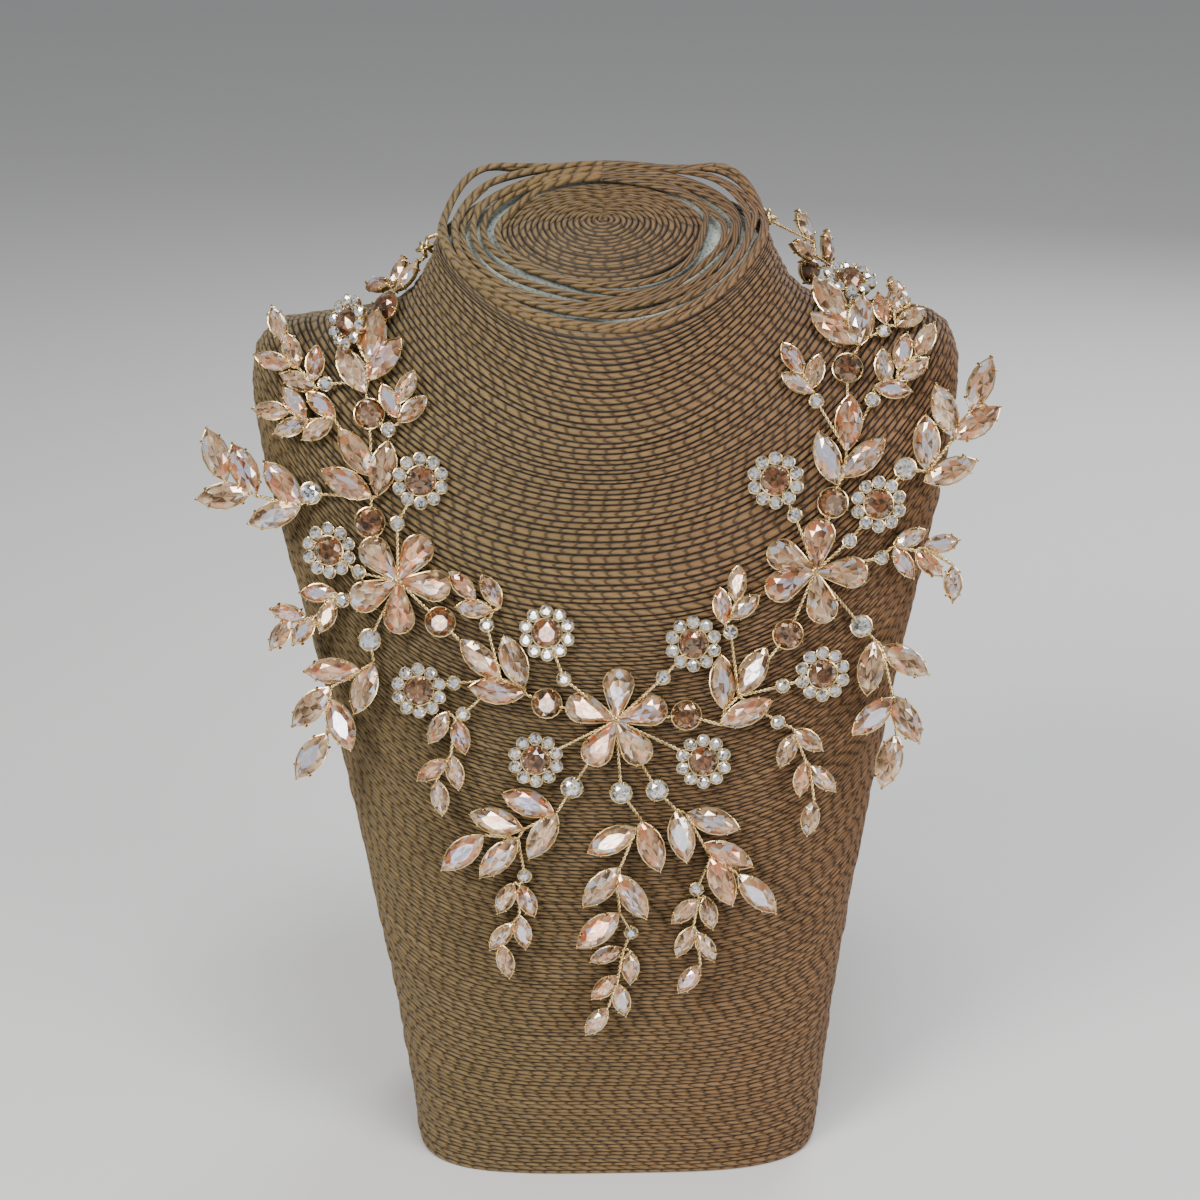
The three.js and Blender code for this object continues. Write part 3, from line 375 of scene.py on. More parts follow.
def facet_play() -> bpy.types.NodeTree:
    """Builds the group that paints the light a foil-backed stone throws back into its colour, facet by
    facet.

    Returns:
        The node group, with a colour and a roughness.
    """
    colour, number = "NodeSocketColor", "NodeSocketFloat"
    desk, given, result = new_group(
        "FacetPlay",
        {
            "Deep": (colour, (0.3, 0.2, 0.1, 1.0)),
            "Body": (colour, (0.7, 0.5, 0.4, 1.0)),
            "Bright": (colour, (0.9, 0.9, 0.9, 1.0)),
            "Warm Flash": (colour, (0.9, 0.5, 0.3, 1.0)),
            "Cool Flash": (colour, (0.7, 0.8, 1.0, 1.0)),
            "Flash": (number, 0.5),
        },
        {"Color": colour, "Rough": number},
    )
    shaded_facet, body, bright, warm, cool, flash = given.outputs[:6]
    stone, facet, table = desk.attribute("stone"), desk.attribute("facet"), desk.attribute("table")
    uv = desk.add("ShaderNodeSeparateXYZ", {0: desk.add("ShaderNodeUVMap", uv_map=STONE_UV).outputs["UV"]})
    x, y = uv.outputs[0], uv.outputs[1]
    angle = desk.math("ARCTAN2", y, x)
    reach = desk.math("SQRT", desk.math("ADD", desk.math("MULTIPLY", x, x), desk.math("MULTIPLY", y, y)))
    # Back facets lie in rings round the stone, and each starts its chance from its ring and sector
    rings_across, sectors_round = 2.7, 11
    ring = desk.math("FLOOR", desk.math("MULTIPLY", reach, rings_across))
    half_step = desk.math("MULTIPLY_ADD", ring, 0.5, stone)
    turned = desk.math("MULTIPLY_ADD", angle, sectors_round / FULL_TURN, half_step)
    sector = desk.math("MULTIPLY_ADD", desk.math("FLOOR", turned), 3.17, desk.math("MULTIPLY", ring, 11.3))
    seed = desk.math("MULTIPLY_ADD", stone, 91.0, sector)
    back_light = desk.chance(seed)
    second = desk.chance(desk.math("ADD", seed, 37.0))
    facet_light = desk.chance(desk.math("MULTIPLY_ADD", facet, 13.0, desk.math("MULTIPLY", stone, 61.0)))
    stone_light = desk.chance(desk.math("MULTIPLY", stone, 57.0))
    across_share, back_share, facet_share = 0.22, 0.55, 0.33
    across = desk.math("MULTIPLY", desk.math("FRACT", turned), across_share)
    front = desk.math("MULTIPLY", facet_light, facet_share)
    depth = desk.math("ADD", across, desk.math("MULTIPLY_ADD", back_light, back_share, front))
    # Painted shade and painted highlight: each facet's brightness mixes the shaded facet colour, the body
    # and the bright colour
    filled = desk.mix(desk.ramp(depth, 0.16, 0.74), shaded_facet, body)
    lit = desk.mix(desk.ramp(depth, 0.76, 0.98), filled, bright)
    # Painted reflections: warm flashes on some back facets, cool flashes on some facets and on the tables
    warmed = desk.mix(desk.math("MULTIPLY", desk.ramp(second, 0.76, 0.88), flash), lit, warm)
    cool_facet = desk.ramp(facet_light, 0.8, 0.92)
    cool_stone = desk.math("MULTIPLY", desk.ramp(stone_light, 0.66, 0.86), desk.ramp(back_light, 0.2, 0.6))
    cool_here = desk.math("MAXIMUM", cool_facet, desk.math("MULTIPLY", table, cool_stone))
    flashed = desk.mix(desk.math("MULTIPLY", cool_here, flash), warmed, cool)
    least_rough, rough_span = 0.04, 0.1
    rough = desk.math("MULTIPLY_ADD", second, rough_span, least_rough)
    desk.feed(result, {"Color": flashed, "Rough": rough})
    return desk.tree


def cord_twist() -> bpy.types.NodeTree:
    """Builds the group for the twist and the paper fibres of a wound cord.

    Returns:
        The node group, with a height, a groove mask, a shade that varies from row to row, and masks of
        the fibres and of the plies.
    """
    number = "NodeSocketFloat"
    desk, given, result = new_group(
        "CordTwist",
        {"Lay": (number, 0.0044), "Slant": (number, 1.0)},
        {"Height": number, "Groove": number, "Shade": number, "Fibre": number, "Ply": number},
    )
    uv = desk.add("ShaderNodeSeparateXYZ", {0: desk.add("ShaderNodeUVMap", uv_map=CORD_UV).outputs["UV"]})
    run, row = uv.outputs[0], uv.outputs[1]
    whole_row = desk.math("FLOOR", row)
    own_start = desk.chance(whole_row)
    slant = desk.math("MULTIPLY_ADD", row, given.outputs["Slant"], desk.math("MULTIPLY", own_start, 3.0))
    turned = desk.math("ADD", desk.math("DIVIDE", run, given.outputs["Lay"]), slant)
    bends_a_metre, bend_size = 260.0, 0.7
    bend_run = desk.math("MULTIPLY", run, bends_a_metre)
    bend_place = desk.add("ShaderNodeCombineXYZ", {0: bend_run, 1: whole_row})
    bend_inputs = {"Vector": bend_place.outputs[0], "Scale": 1.0, "Detail": 2.0}
    bent = desk.add("ShaderNodeTexNoise", bend_inputs).outputs[0]
    bent_turn = desk.math("ADD", turned, desk.math("MULTIPLY", bent, bend_size))
    wave = desk.math("SINE", desk.math("MULTIPLY", bent_turn, FULL_TURN))
    ply_fullness = 0.6
    ply = desk.math("POWER", desk.math("MULTIPLY_ADD", wave, 0.5, 0.5), ply_fullness)
    fibres_a_metre, fibre_slant, fibres_a_row = 420.0, 110.0, 7.0
    slanted = desk.math("SUBTRACT", row, desk.math("MULTIPLY", run, fibre_slant))
    fibre_place = desk.add("ShaderNodeCombineXYZ", {
        0: desk.math("MULTIPLY", run, fibres_a_metre), 1: desk.math("MULTIPLY", slanted, fibres_a_row),
    })
    fibre_inputs = {"Vector": fibre_place.outputs[0], "Scale": 1.0, "Detail": 4.0, "Roughness": 0.65}
    fibre = desk.add("ShaderNodeTexNoise", fibre_inputs).outputs[0]
    across = desk.math("ABSOLUTE", desk.math("SUBTRACT", desk.math("FRACT", row), 0.5))
    place = desk.add("ShaderNodeTexCoord").outputs["Object"]
    shade_row = desk.math("MULTIPLY", whole_row, 7.7)
    shade_inputs = {"Vector": place, "W": shade_row, "Scale": 26.0, "Detail": 3.0}
    fibre_height = 0.35
    desk.feed(result, {
        "Height": desk.math("ADD", ply, desk.math("MULTIPLY", fibre, fibre_height)),
        "Groove": desk.ramp(across, 0.27, 0.47),
        "Shade": desk.add("ShaderNodeTexNoise", shade_inputs, noise_dimensions="4D").outputs[0],
        "Fibre": fibre,
        "Ply": ply,
    })
    return desk.tree


def plating_wear() -> bpy.types.NodeTree:
    """Builds the group for the small marks and the dulled patches of thin plating.

    Returns:
        The node group, with a dull mask and a height.
    """
    number = "NodeSocketFloat"
    desk, given, result = new_group(
        "PlatingWear", {"Grain": (number, 900.0)}, {"Dull": number, "Height": number}
    )
    place = desk.add("ShaderNodeTexCoord").outputs["Object"]
    fine, patch_share = given.outputs["Grain"], 0.35
    coarse = desk.math("MULTIPLY", fine, patch_share)
    patch = desk.add("ShaderNodeTexNoise", {"Vector": place, "Scale": coarse, "Detail": 3.0})
    grain = desk.add("ShaderNodeTexNoise", {"Vector": place, "Scale": fine, "Detail": 2.0})
    desk.feed(result, {"Dull": desk.ramp(patch.outputs[0], 0.45, 0.72), "Height": grain.outputs[0]})
    return desk.tree


@dataclass(frozen=True)
class CutGlass:
    """Foil-backed cut glass of one colour, with painted shade, painted highlights and painted reflections on
    its facets.
    """

    name: str
    shaded_facet: Colour
    body: Colour
    bright: Colour
    warm: Colour
    cool: Colour
    flash: float
    foil: float = 0.5
    bend: float = 1.62
    polish_bend: float = 1.65
    polish_roughness: float = 0.015

    def made(self, play: bpy.types.NodeTree) -> bpy.types.Material:
        """Makes the material.

        Args:
            play: The group for the light that the facets throw back.

        Returns:
            The material.
        """
        material, desk, shader = new_material(self.name)
        light = {
            "Deep": self.shaded_facet, "Body": self.body, "Bright": self.bright,
            "Warm Flash": self.warm, "Cool Flash": self.cool, "Flash": self.flash,
        }
        group = desk.add("ShaderNodeGroup", light, node_tree=play)
        desk.feed(shader, {
            "Base Color": group.outputs["Color"], "Roughness": group.outputs["Rough"],
            "Metallic": self.foil, "IOR": self.bend, "Coat Weight": 1.0,
            "Coat Roughness": self.polish_roughness, "Coat IOR": self.polish_bend,
        })
        return material


@dataclass(frozen=True)
class Plating:
    """Thin bright plating on wire and settings."""

    name: str
    colour: Colour
    dulled: Colour
    roughness: float
    dull_roughness: float = 0.18
    mark_strength: float = 0.08
    mark_depth: float = 0.05 * MM

    def made(self, wear: bpy.types.NodeTree) -> bpy.types.Material:
        """Makes the material.

        Args:
            wear: The group for marks and dulled patches.

        Returns:
            The material.
        """
        material, desk, shader = new_material(self.name)
        group = desk.add("ShaderNodeGroup", node_tree=wear)
        dull, height = group.outputs["Dull"], group.outputs["Height"]
        marks = {"Strength": self.mark_strength, "Distance": self.mark_depth, "Height": height}
        desk.feed(shader, {
            "Base Color": desk.mix(dull, self.colour, self.dulled),
            "Roughness": desk.math("MULTIPLY_ADD", dull, self.dull_roughness, self.roughness),
            "Normal": desk.add("ShaderNodeBump", marks).outputs[0],
            "Metallic": 1.0,
        })
        return material


@dataclass(frozen=True)
class PaperCord:
    """Twisted paper cord, with painted shade in its grooves and in the creases between its plies."""

    name: str = "PaperCord"
    khaki: Colour = field(default_factory=lambda: tone(141, 117, 73))
    russet: Colour = field(default_factory=lambda: tone(149, 108, 70))
    # A dark colour for the painted shade in grooves and creases, and for the darker rows and fibres
    shade_and_dark_tone: Colour = field(default_factory=lambda: tone(36, 24, 12))
    twist_depth: float = 0.7 * MM

    def made(self, twist: bpy.types.NodeTree) -> bpy.types.Material:
        """Makes the material.

        Args:
            twist: The group for the cord's twist.

        Returns:
            The material.
        """
        material, desk, shader = new_material(self.name)
        group = desk.add("ShaderNodeGroup", node_tree=twist)
        height, groove, shade, fibre, ply = group.outputs[:5]
        place = desk.add("ShaderNodeTexCoord").outputs["Object"]
        side = desk.add("ShaderNodeSeparateXYZ", {0: place}).outputs[0]
        body = desk.mix(desk.ramp(side, -0.06, 0.09), self.khaki, self.russet)
        dim_row, dim_fibre, ply_crease_shade, groove_shade = 0.34, 0.4, 0.82, 0.9
        lighter = desk.mix(desk.ramp(shade, 0.3, 0.75), desk.mix(dim_row, body, self.shade_and_dark_tone), body)
        fibred = desk.mix(desk.ramp(fibre, 0.3, 0.62), desk.mix(dim_fibre, body, self.shade_and_dark_tone), lighter)
        # Painted shade in the creases between the plies of the twist
        plied = desk.mix(desk.ramp(ply, 0.02, 0.6), desk.mix(ply_crease_shade, body, self.shade_and_dark_tone), fibred)
        twisting = {"Strength": 1.0, "Distance": self.twist_depth, "Height": height}
        desk.feed(shader, {
            # Painted shade in the grooves between the rows
            "Base Color": desk.mix(desk.math("MULTIPLY", groove, groove_shade), plied, self.shade_and_dark_tone),
            "Normal": desk.add("ShaderNodeBump", twisting).outputs[0],
            "Roughness": 0.78, "Sheen Weight": 0.12, "Specular IOR Level": 0.35,
        })
        return material


@dataclass(frozen=True)
class FoamCore:
    """Pale foam that shows between the loose rings on top, with painted shade in its pores."""

    name: str = "FoamCore"
    colour: Colour = field(default_factory=lambda: tone(168, 176, 166))
    # The colour of the painted shade in the pits of the pores
    pore_shade: Colour = field(default_factory=lambda: tone(118, 124, 112))
    pores_a_metre: float = 900.0
    pore_depth: float = 0.4 * MM

    def made(self) -> bpy.types.Material:
        """Makes the material and gives it."""
        material, desk, shader = new_material(self.name)
        place = desk.add("ShaderNodeTexCoord").outputs["Object"]
        pores = desk.add("ShaderNodeTexVoronoi", {"Vector": place, "Scale": self.pores_a_metre})
        far = pores.outputs["Distance"]
        pitted = {"Strength": 0.5, "Distance": self.pore_depth, "Height": far}
        desk.feed(shader, {
            "Base Color": desk.mix(desk.ramp(far, 0.1, 0.5), self.pore_shade, self.colour),
            "Normal": desk.add("ShaderNodeBump", pitted).outputs[0],
            "Roughness": 0.9,
        })
        return material


@dataclass
class Finishes:
    """All the finishes of the object, made once."""

    champagne: bpy.types.Material = field(init=False)
    peach: bpy.types.Material = field(init=False)
    amber: bpy.types.Material = field(init=False)
    clear: bpy.types.Material = field(init=False)
    setting: bpy.types.Material = field(init=False)
    wire: bpy.types.Material = field(init=False)
    chain: bpy.types.Material = field(init=False)
    cord: bpy.types.Material = field(init=False)
    foam: bpy.types.Material = field(init=False)

    def __post_init__(self) -> None:
        """Makes the shared groups and then every material."""
        play, wear, twist = facet_play(), plating_wear(), cord_twist()
        # The first two colours are a painted highlight and a painted reflection for the facets of the stones
        # below
        highlight, cool_reflection = tone(250, 240, 226), tone(196, 210, 236)
        self.champagne = CutGlass(
            "ChampagneStone", tone(98, 70, 42), tone(214, 180, 142), highlight, tone(206, 132, 84), cool_reflection, 0.66
        ).made(play)
        self.peach = CutGlass(
            "PeachStone", tone(108, 68, 42), tone(212, 166, 126), highlight, tone(210, 118, 74), cool_reflection, 0.7
        ).made(play)
        self.amber = CutGlass(
            "AmberStone", tone(50, 32, 18), tone(128, 88, 54), tone(222, 190, 150), tone(178, 98, 50),
            tone(160, 146, 126), 0.5,
        ).made(play)
        self.clear = CutGlass(
            "ClearStone", tone(84, 80, 72), tone(224, 224, 222), tone(254, 254, 254), tone(216, 200, 170),
            cool_reflection, 0.6,
        ).made(play)
        pale, dull = tone(232, 208, 156), tone(176, 146, 92)
        self.setting = Plating("SettingPlating", pale, dull, 0.2).made(wear)
        self.wire = Plating("WirePlating", tone(226, 202, 150), tone(170, 142, 94), 0.26).made(wear)
        self.chain = Plating("ChainPlating", tone(230, 202, 140), dull, 0.22).made(wear)
        self.cord = PaperCord().made(twist)
        self.foam = FoamCore().made()


class Outline(Enum):
    """The outline of a cut stone, seen from above."""

    NAVETTE = "navette"
    DROP = "drop"
    ROUND = "round"


@dataclass(frozen=True)
class StoneCut:
    """One size of cut stone with its setting, drawn round the origin with its back on z = 0."""

    name: str
    outline: Outline
    length: float
    width: float
    crown: float
    corners: int
    claws: tuple[float, ...]
    rim: float = 0.3 * MM

    @property
    def round_middle(self) -> float:
        """Where the middle of a drop's round end lies along X."""
        return (self.length - self.width) / 2 if self.outline is Outline.DROP else 0.0

    def edge(self, angle: float, grow: float) -> Vector:
        """Gives a place on the outline.

        Args:
            angle: The angle round the stone, from +X.
            grow: How far outside the stone's metal rim the outline lies.

        Returns:
            The place, at height zero.
        """
        long_half, wide_half = self.length / 2 + grow, self.width / 2 + grow
        if self.outline is Outline.ROUND:
            return Vector((long_half * math.cos(angle), wide_half * math.sin(angle), 0))
        if self.outline is Outline.NAVETTE:
            radius = (long_half**2 + wide_half**2) / (2 * wide_half)
            x = long_half * math.cos(angle)
            reach = math.sqrt(max(radius**2 - x**2, 0)) - radius + wide_half
            return Vector((x, math.copysign(max(reach, 0), math.sin(angle)), 0))
        middle = long_half - wide_half
        meets = math.pi - math.acos(wide_half / (long_half + middle))
        turned = math.remainder(angle, FULL_TURN)
        if abs(turned) <= meets:
            return Vector((middle + wide_half * math.cos(turned), wide_half * math.sin(turned), 0))
        share = (abs(turned) - meets) / (math.pi - meets)
        side = Vector((middle + wide_half * math.cos(meets), wide_half * math.sin(meets), 0))
        place = side.lerp(Vector((-long_half, 0, 0)), share)
        place.y += 0.07 * wide_half * math.sin(math.pi * share)
        return Vector((place.x, math.copysign(place.y, turned), 0))

    def ring(self, count: int, scale: float, grow: float, height: float, shift: float = 0.0) -> list[Vector]:
        """Gives a ring of places inside the outline.

        Args:
            count: How many places.
            scale: How far out they lie, as a share of the outline.
            grow: How far the outline is grown first.
            height: Their height.
            shift: Shares of one step by which the ring is turned.

        Returns:
            The places in order.
        """
        centre = Vector((0.5 * self.round_middle, 0, 0))
        lift = Vector((0, 0, height))
        angles = [(k + shift) / count * FULL_TURN for k in range(count)]
        return [centre + (self.edge(a, grow) - centre) * scale + lift for a in angles]


def circle_as(places: list[Vector]) -> None:
    """Adds a circle in edit mode and sets its corners on the given places."""
    bpy.ops.mesh.select_all(action="DESELECT")
    bpy.ops.mesh.primitive_circle_add(vertices=len(places), radius=1.0)
    mesh = bmesh.from_edit_mesh(bpy.context.object.data)
    for corner, place in zip([v for v in mesh.verts if v.select], places):
        corner.co = place
    bmesh.update_edit_mesh(bpy.context.object.data)


def extruded_to(places: list[Vector], before: list[Vector]) -> None:
    """Extrudes the selected face and moves its corners from their places before to the given places."""
    bpy.ops.mesh.extrude_region_move()
    mesh = bmesh.from_edit_mesh(bpy.context.object.data)
    for corner in [v for v in mesh.verts if v.select]:
        nearest = min(range(len(before)), key=lambda k: (before[k] - corner.co).length_squared)
        corner.co = places[nearest]
    bmesh.update_edit_mesh(bpy.context.object.data)


class StoneBench:
    """Cuts one stone of each size, sets it in its claws, and gives copies of it."""

    claw_wire = 0.36 * MM
    usual_width = 5.4 * MM
    golden_step = 0.618034

    def __init__(self, finishes: Finishes) -> None:
        """Starts with no stone cut.

        Args:
            finishes: The object's finishes.
        """
        self.finishes = finishes
        self.patterns: dict[tuple[str, str], bpy.types.Object] = {}
        self.set_so_far = 0

    def cut_glass(self, cut: StoneCut) -> bpy.types.Object:
        """Cuts the glass: rings of corners hulled into flat facets.

        Args:
            cut: The stone's size.

        Returns:
            The glass, with its facets numbered and its table marked.
        """
        deselect_all()
        bpy.ops.mesh.primitive_circle_add(vertices=cut.corners, radius=1.0)
        glass = bpy.context.object
        half, top = cut.corners // 2, GIRDLE_HEIGHT + cut.crown
        rings = (
            cut.ring(cut.corners, 1.0, -cut.rim, GIRDLE_HEIGHT - 0.25 * MM),
            cut.ring(cut.corners, 1.0, -cut.rim, GIRDLE_HEIGHT + 0.05 * MM),
            cut.ring(half, 0.8, -cut.rim, GIRDLE_HEIGHT + 0.62 * cut.crown, 0.5),
            cut.ring(half, 0.56, -cut.rim, top),
            cut.ring(half, 0.4, -cut.rim, 0.5 * MM, 0.5),
        )
        with editing():
            bpy.ops.mesh.delete(type="VERT")
            for ring in rings:
                circle_as(ring)
            bpy.ops.mesh.select_all(action="SELECT")
            bpy.ops.mesh.convex_hull()
            bpy.ops.mesh.dissolve_limited(angle_limit=math.radians(0.5))
            face_outward()
        mesh = glass.data
        facet = mesh.attributes.new("facet", "FLOAT", "FACE")
        table = mesh.attributes.new("table", "FLOAT", "FACE")
        for face in mesh.polygons:
            facet.data[face.index].value = face.index / len(mesh.polygons)
            flat_on_top = face.normal.z > 0.999 and face.center.z > GIRDLE_HEIGHT
            table.data[face.index].value = float(flat_on_top)
        self.write_uv(mesh, cut)
        return glass

    def write_uv(self, mesh: bpy.types.Mesh, cut: StoneCut) -> None:
        """Gives a mesh the stone's own UV: its plan, as shares of its half length.

        Args:
            mesh: The mesh to write on.
            cut: The stone's size.
        """
        if STONE_UV not in mesh.uv_layers:
            mesh.uv_layers.new(name=STONE_UV)
        for old in [uv for uv in mesh.uv_layers if uv.name != STONE_UV]:
            mesh.uv_layers.remove(old)
        layer = mesh.uv_layers[STONE_UV]
        for loop in mesh.loops:
            place = mesh.vertices[loop.vertex_index].co
            layer.data[loop.index].uv = (2 * place.x / cut.length, 2 * place.y / cut.width)

    def bend_cup(self, cut: StoneCut) -> bpy.types.Object:
        """Makes the cup: a flat base drawn up into a wall with a rolled rim.

        Args:
            cut: The stone's size.

        Returns:
            The closed cup.
        """
        profile = (
            (-1.0 * MM, 0.0), (-0.35 * MM, 0.75 * MM), (-0.04 * MM, 1.45 * MM),
            (0.0, GIRDLE_HEIGHT + 0.05 * MM), (-0.26 * MM, GIRDLE_HEIGHT + 0.12 * MM),
            (-0.34 * MM, GIRDLE_HEIGHT - 0.3 * MM),
        )
        rings = [cut.ring(cut.corners, 1.0, grow, height) for grow, height in profile]
        deselect_all()
        bpy.ops.mesh.primitive_circle_add(vertices=cut.corners, radius=1.0, fill_type="NGON")
        cup = bpy.context.object
        for corner, place in zip(cup.data.vertices, rings[0]):
            corner.co = place
        with editing():
            for before, after in zip(rings, rings[1:]):
                extruded_to(after, before)
            face_outward()
        bpy.ops.object.shade_smooth_by_angle(angle=math.radians(40))
        return cup

    def bend_claws(self, cut: StoneCut) -> bpy.types.Object:
        """Bends the claws: short wires that rise beside the cup and lie over the crown.

        Args:
            cut: The stone's size.

        Returns:
            The claws as one mesh.
        """
        small = min(cut.width / self.usual_width, 1.0)
        crown = GIRDLE_HEIGHT + 0.1 * MM
        steps = (
            (0.02 * MM, 0.6 * MM, 0.8), (0.1 * MM, GIRDLE_HEIGHT, 1.0),
            (-0.12 * MM, crown + 0.38 * cut.crown, 0.95),
            (-0.6 * MM * max(small, 0.6), crown + 0.6 * cut.crown, 0.6),
        )
        claws = []
        for share in cut.claws:
            claw = []
            for grow, height, thickness in steps:
                foot = cut.edge(share * FULL_TURN, grow)
                claw.append((Vector((foot.x, foot.y, height)), thickness))
            claws.append(claw)
        return wire_mesh("claws", self.claw_wire * max(small, 0.7), 1, claws)

    def pattern(self, cut: StoneCut, glass: bpy.types.Material) -> bpy.types.Object:
        """Gives the finished stone of one size and colour, making it the first time.

        Args:
            cut: The stone's size.
            glass: The stone's glass.

        Returns:
            The pattern to copy, kept out of the render.
        """
        key = (cut.name, glass.name)
        if key not in self.patterns:
            stone, cup, claws = self.cut_glass(cut), self.bend_cup(cut), self.bend_claws(cut)
            setting = self.finishes.setting
            for part, material in ((stone, glass), (cup, setting), (claws, setting)):
                part.data.materials.clear()
                part.data.materials.append(material)
                if part is not stone:
                    self.write_uv(part.data, cut)
            made = joined("pattern_" + "_".join(key), [stone, cup, claws])
            made.hide_render = True
            self.patterns[key] = made
        return self.patterns[key]

    def placed(self, cut: StoneCut, glass: bpy.types.Material, place: Matrix) -> bpy.types.Object:
        """Copies a stone to its place with its own mesh and its own light.

        Args:
            cut: The stone's size.
            glass: The stone's glass.
            place: From the stone's frame to the bust's.

        Returns:
            The placed stone.
        """
        pattern = self.pattern(cut, glass)
        stone = pattern.copy()
        stone.data = pattern.data.copy()
        stone.hide_render = False
        stone.data.transform(place)
        self.set_so_far += 1
        light = stone.data.attributes.new("stone", "FLOAT", "FACE")
        share = math.modf(self.set_so_far * self.golden_step)[0]
        light.data.foreach_set("value", [share] * len(stone.data.polygons))
        bpy.context.scene.collection.objects.link(stone)
        return stone

    def clear_away(self) -> None:
        """Removes the patterns once every stone is set."""
        for pattern in self.patterns.values():
            bpy.data.objects.remove(pattern)
        self.patterns.clear()


SIDE_CLAWS = (0.0, 0.5, 0.145, 0.355, 0.645, 0.855)
FOUR_CLAWS = (0.125, 0.375, 0.625, 0.875)

LARGE_LEAF = StoneCut("large_leaf", Outline.NAVETTE, 15.6 * MM, 7.6 * MM, 1.7 * MM, 16, SIDE_CLAWS)
SMALL_LEAF = StoneCut("small_leaf", Outline.NAVETTE, 10.4 * MM, 5.4 * MM, 1.3 * MM, 14, SIDE_CLAWS)
PETAL = StoneCut("petal", Outline.DROP, 15.2 * MM, 8.8 * MM, 2.2 * MM, 16, (0.5, 0.1, 0.9, 0.3, 0.7))
CHATON = StoneCut("chaton", Outline.ROUND, 8.6 * MM, 8.6 * MM, 2.0 * MM, 16, FOUR_CLAWS)
LARGE_CLEAR = StoneCut("large_clear", Outline.ROUND, 6.4 * MM, 6.4 * MM, 1.4 * MM, 12, FOUR_CLAWS)
SMALL_CLEAR = StoneCut("small_clear", Outline.ROUND, 4.2 * MM, 4.2 * MM, 1.1 * MM, 10, FOUR_CLAWS)
TWO_CLAWS = (0.25, 0.75)
RING_CLEAR = StoneCut("ring_clear", Outline.ROUND, 3.74 * MM, 3.74 * MM, 1.1 * MM, 10, TWO_CLAWS, 0.14 * MM)
CLUSTER_RING = 5.95 * MM

LEAF_TABLE = 0.55
ROUND_TABLE = 0.58


@dataclass(frozen=True)
class Seat:
    """A stone's size and its place on the bust."""

    cut: StoneCut
    place: Matrix
    heading: Vector
    facing: Vector
    corners: tuple[Vector, ...] = ()

    def at(self, x: float, height: float = GIRDLE_HEIGHT) -> Vector:
        """Gives the place on the bust of a point along the stone's length."""
        return self.place @ Vector((x, 0, height))


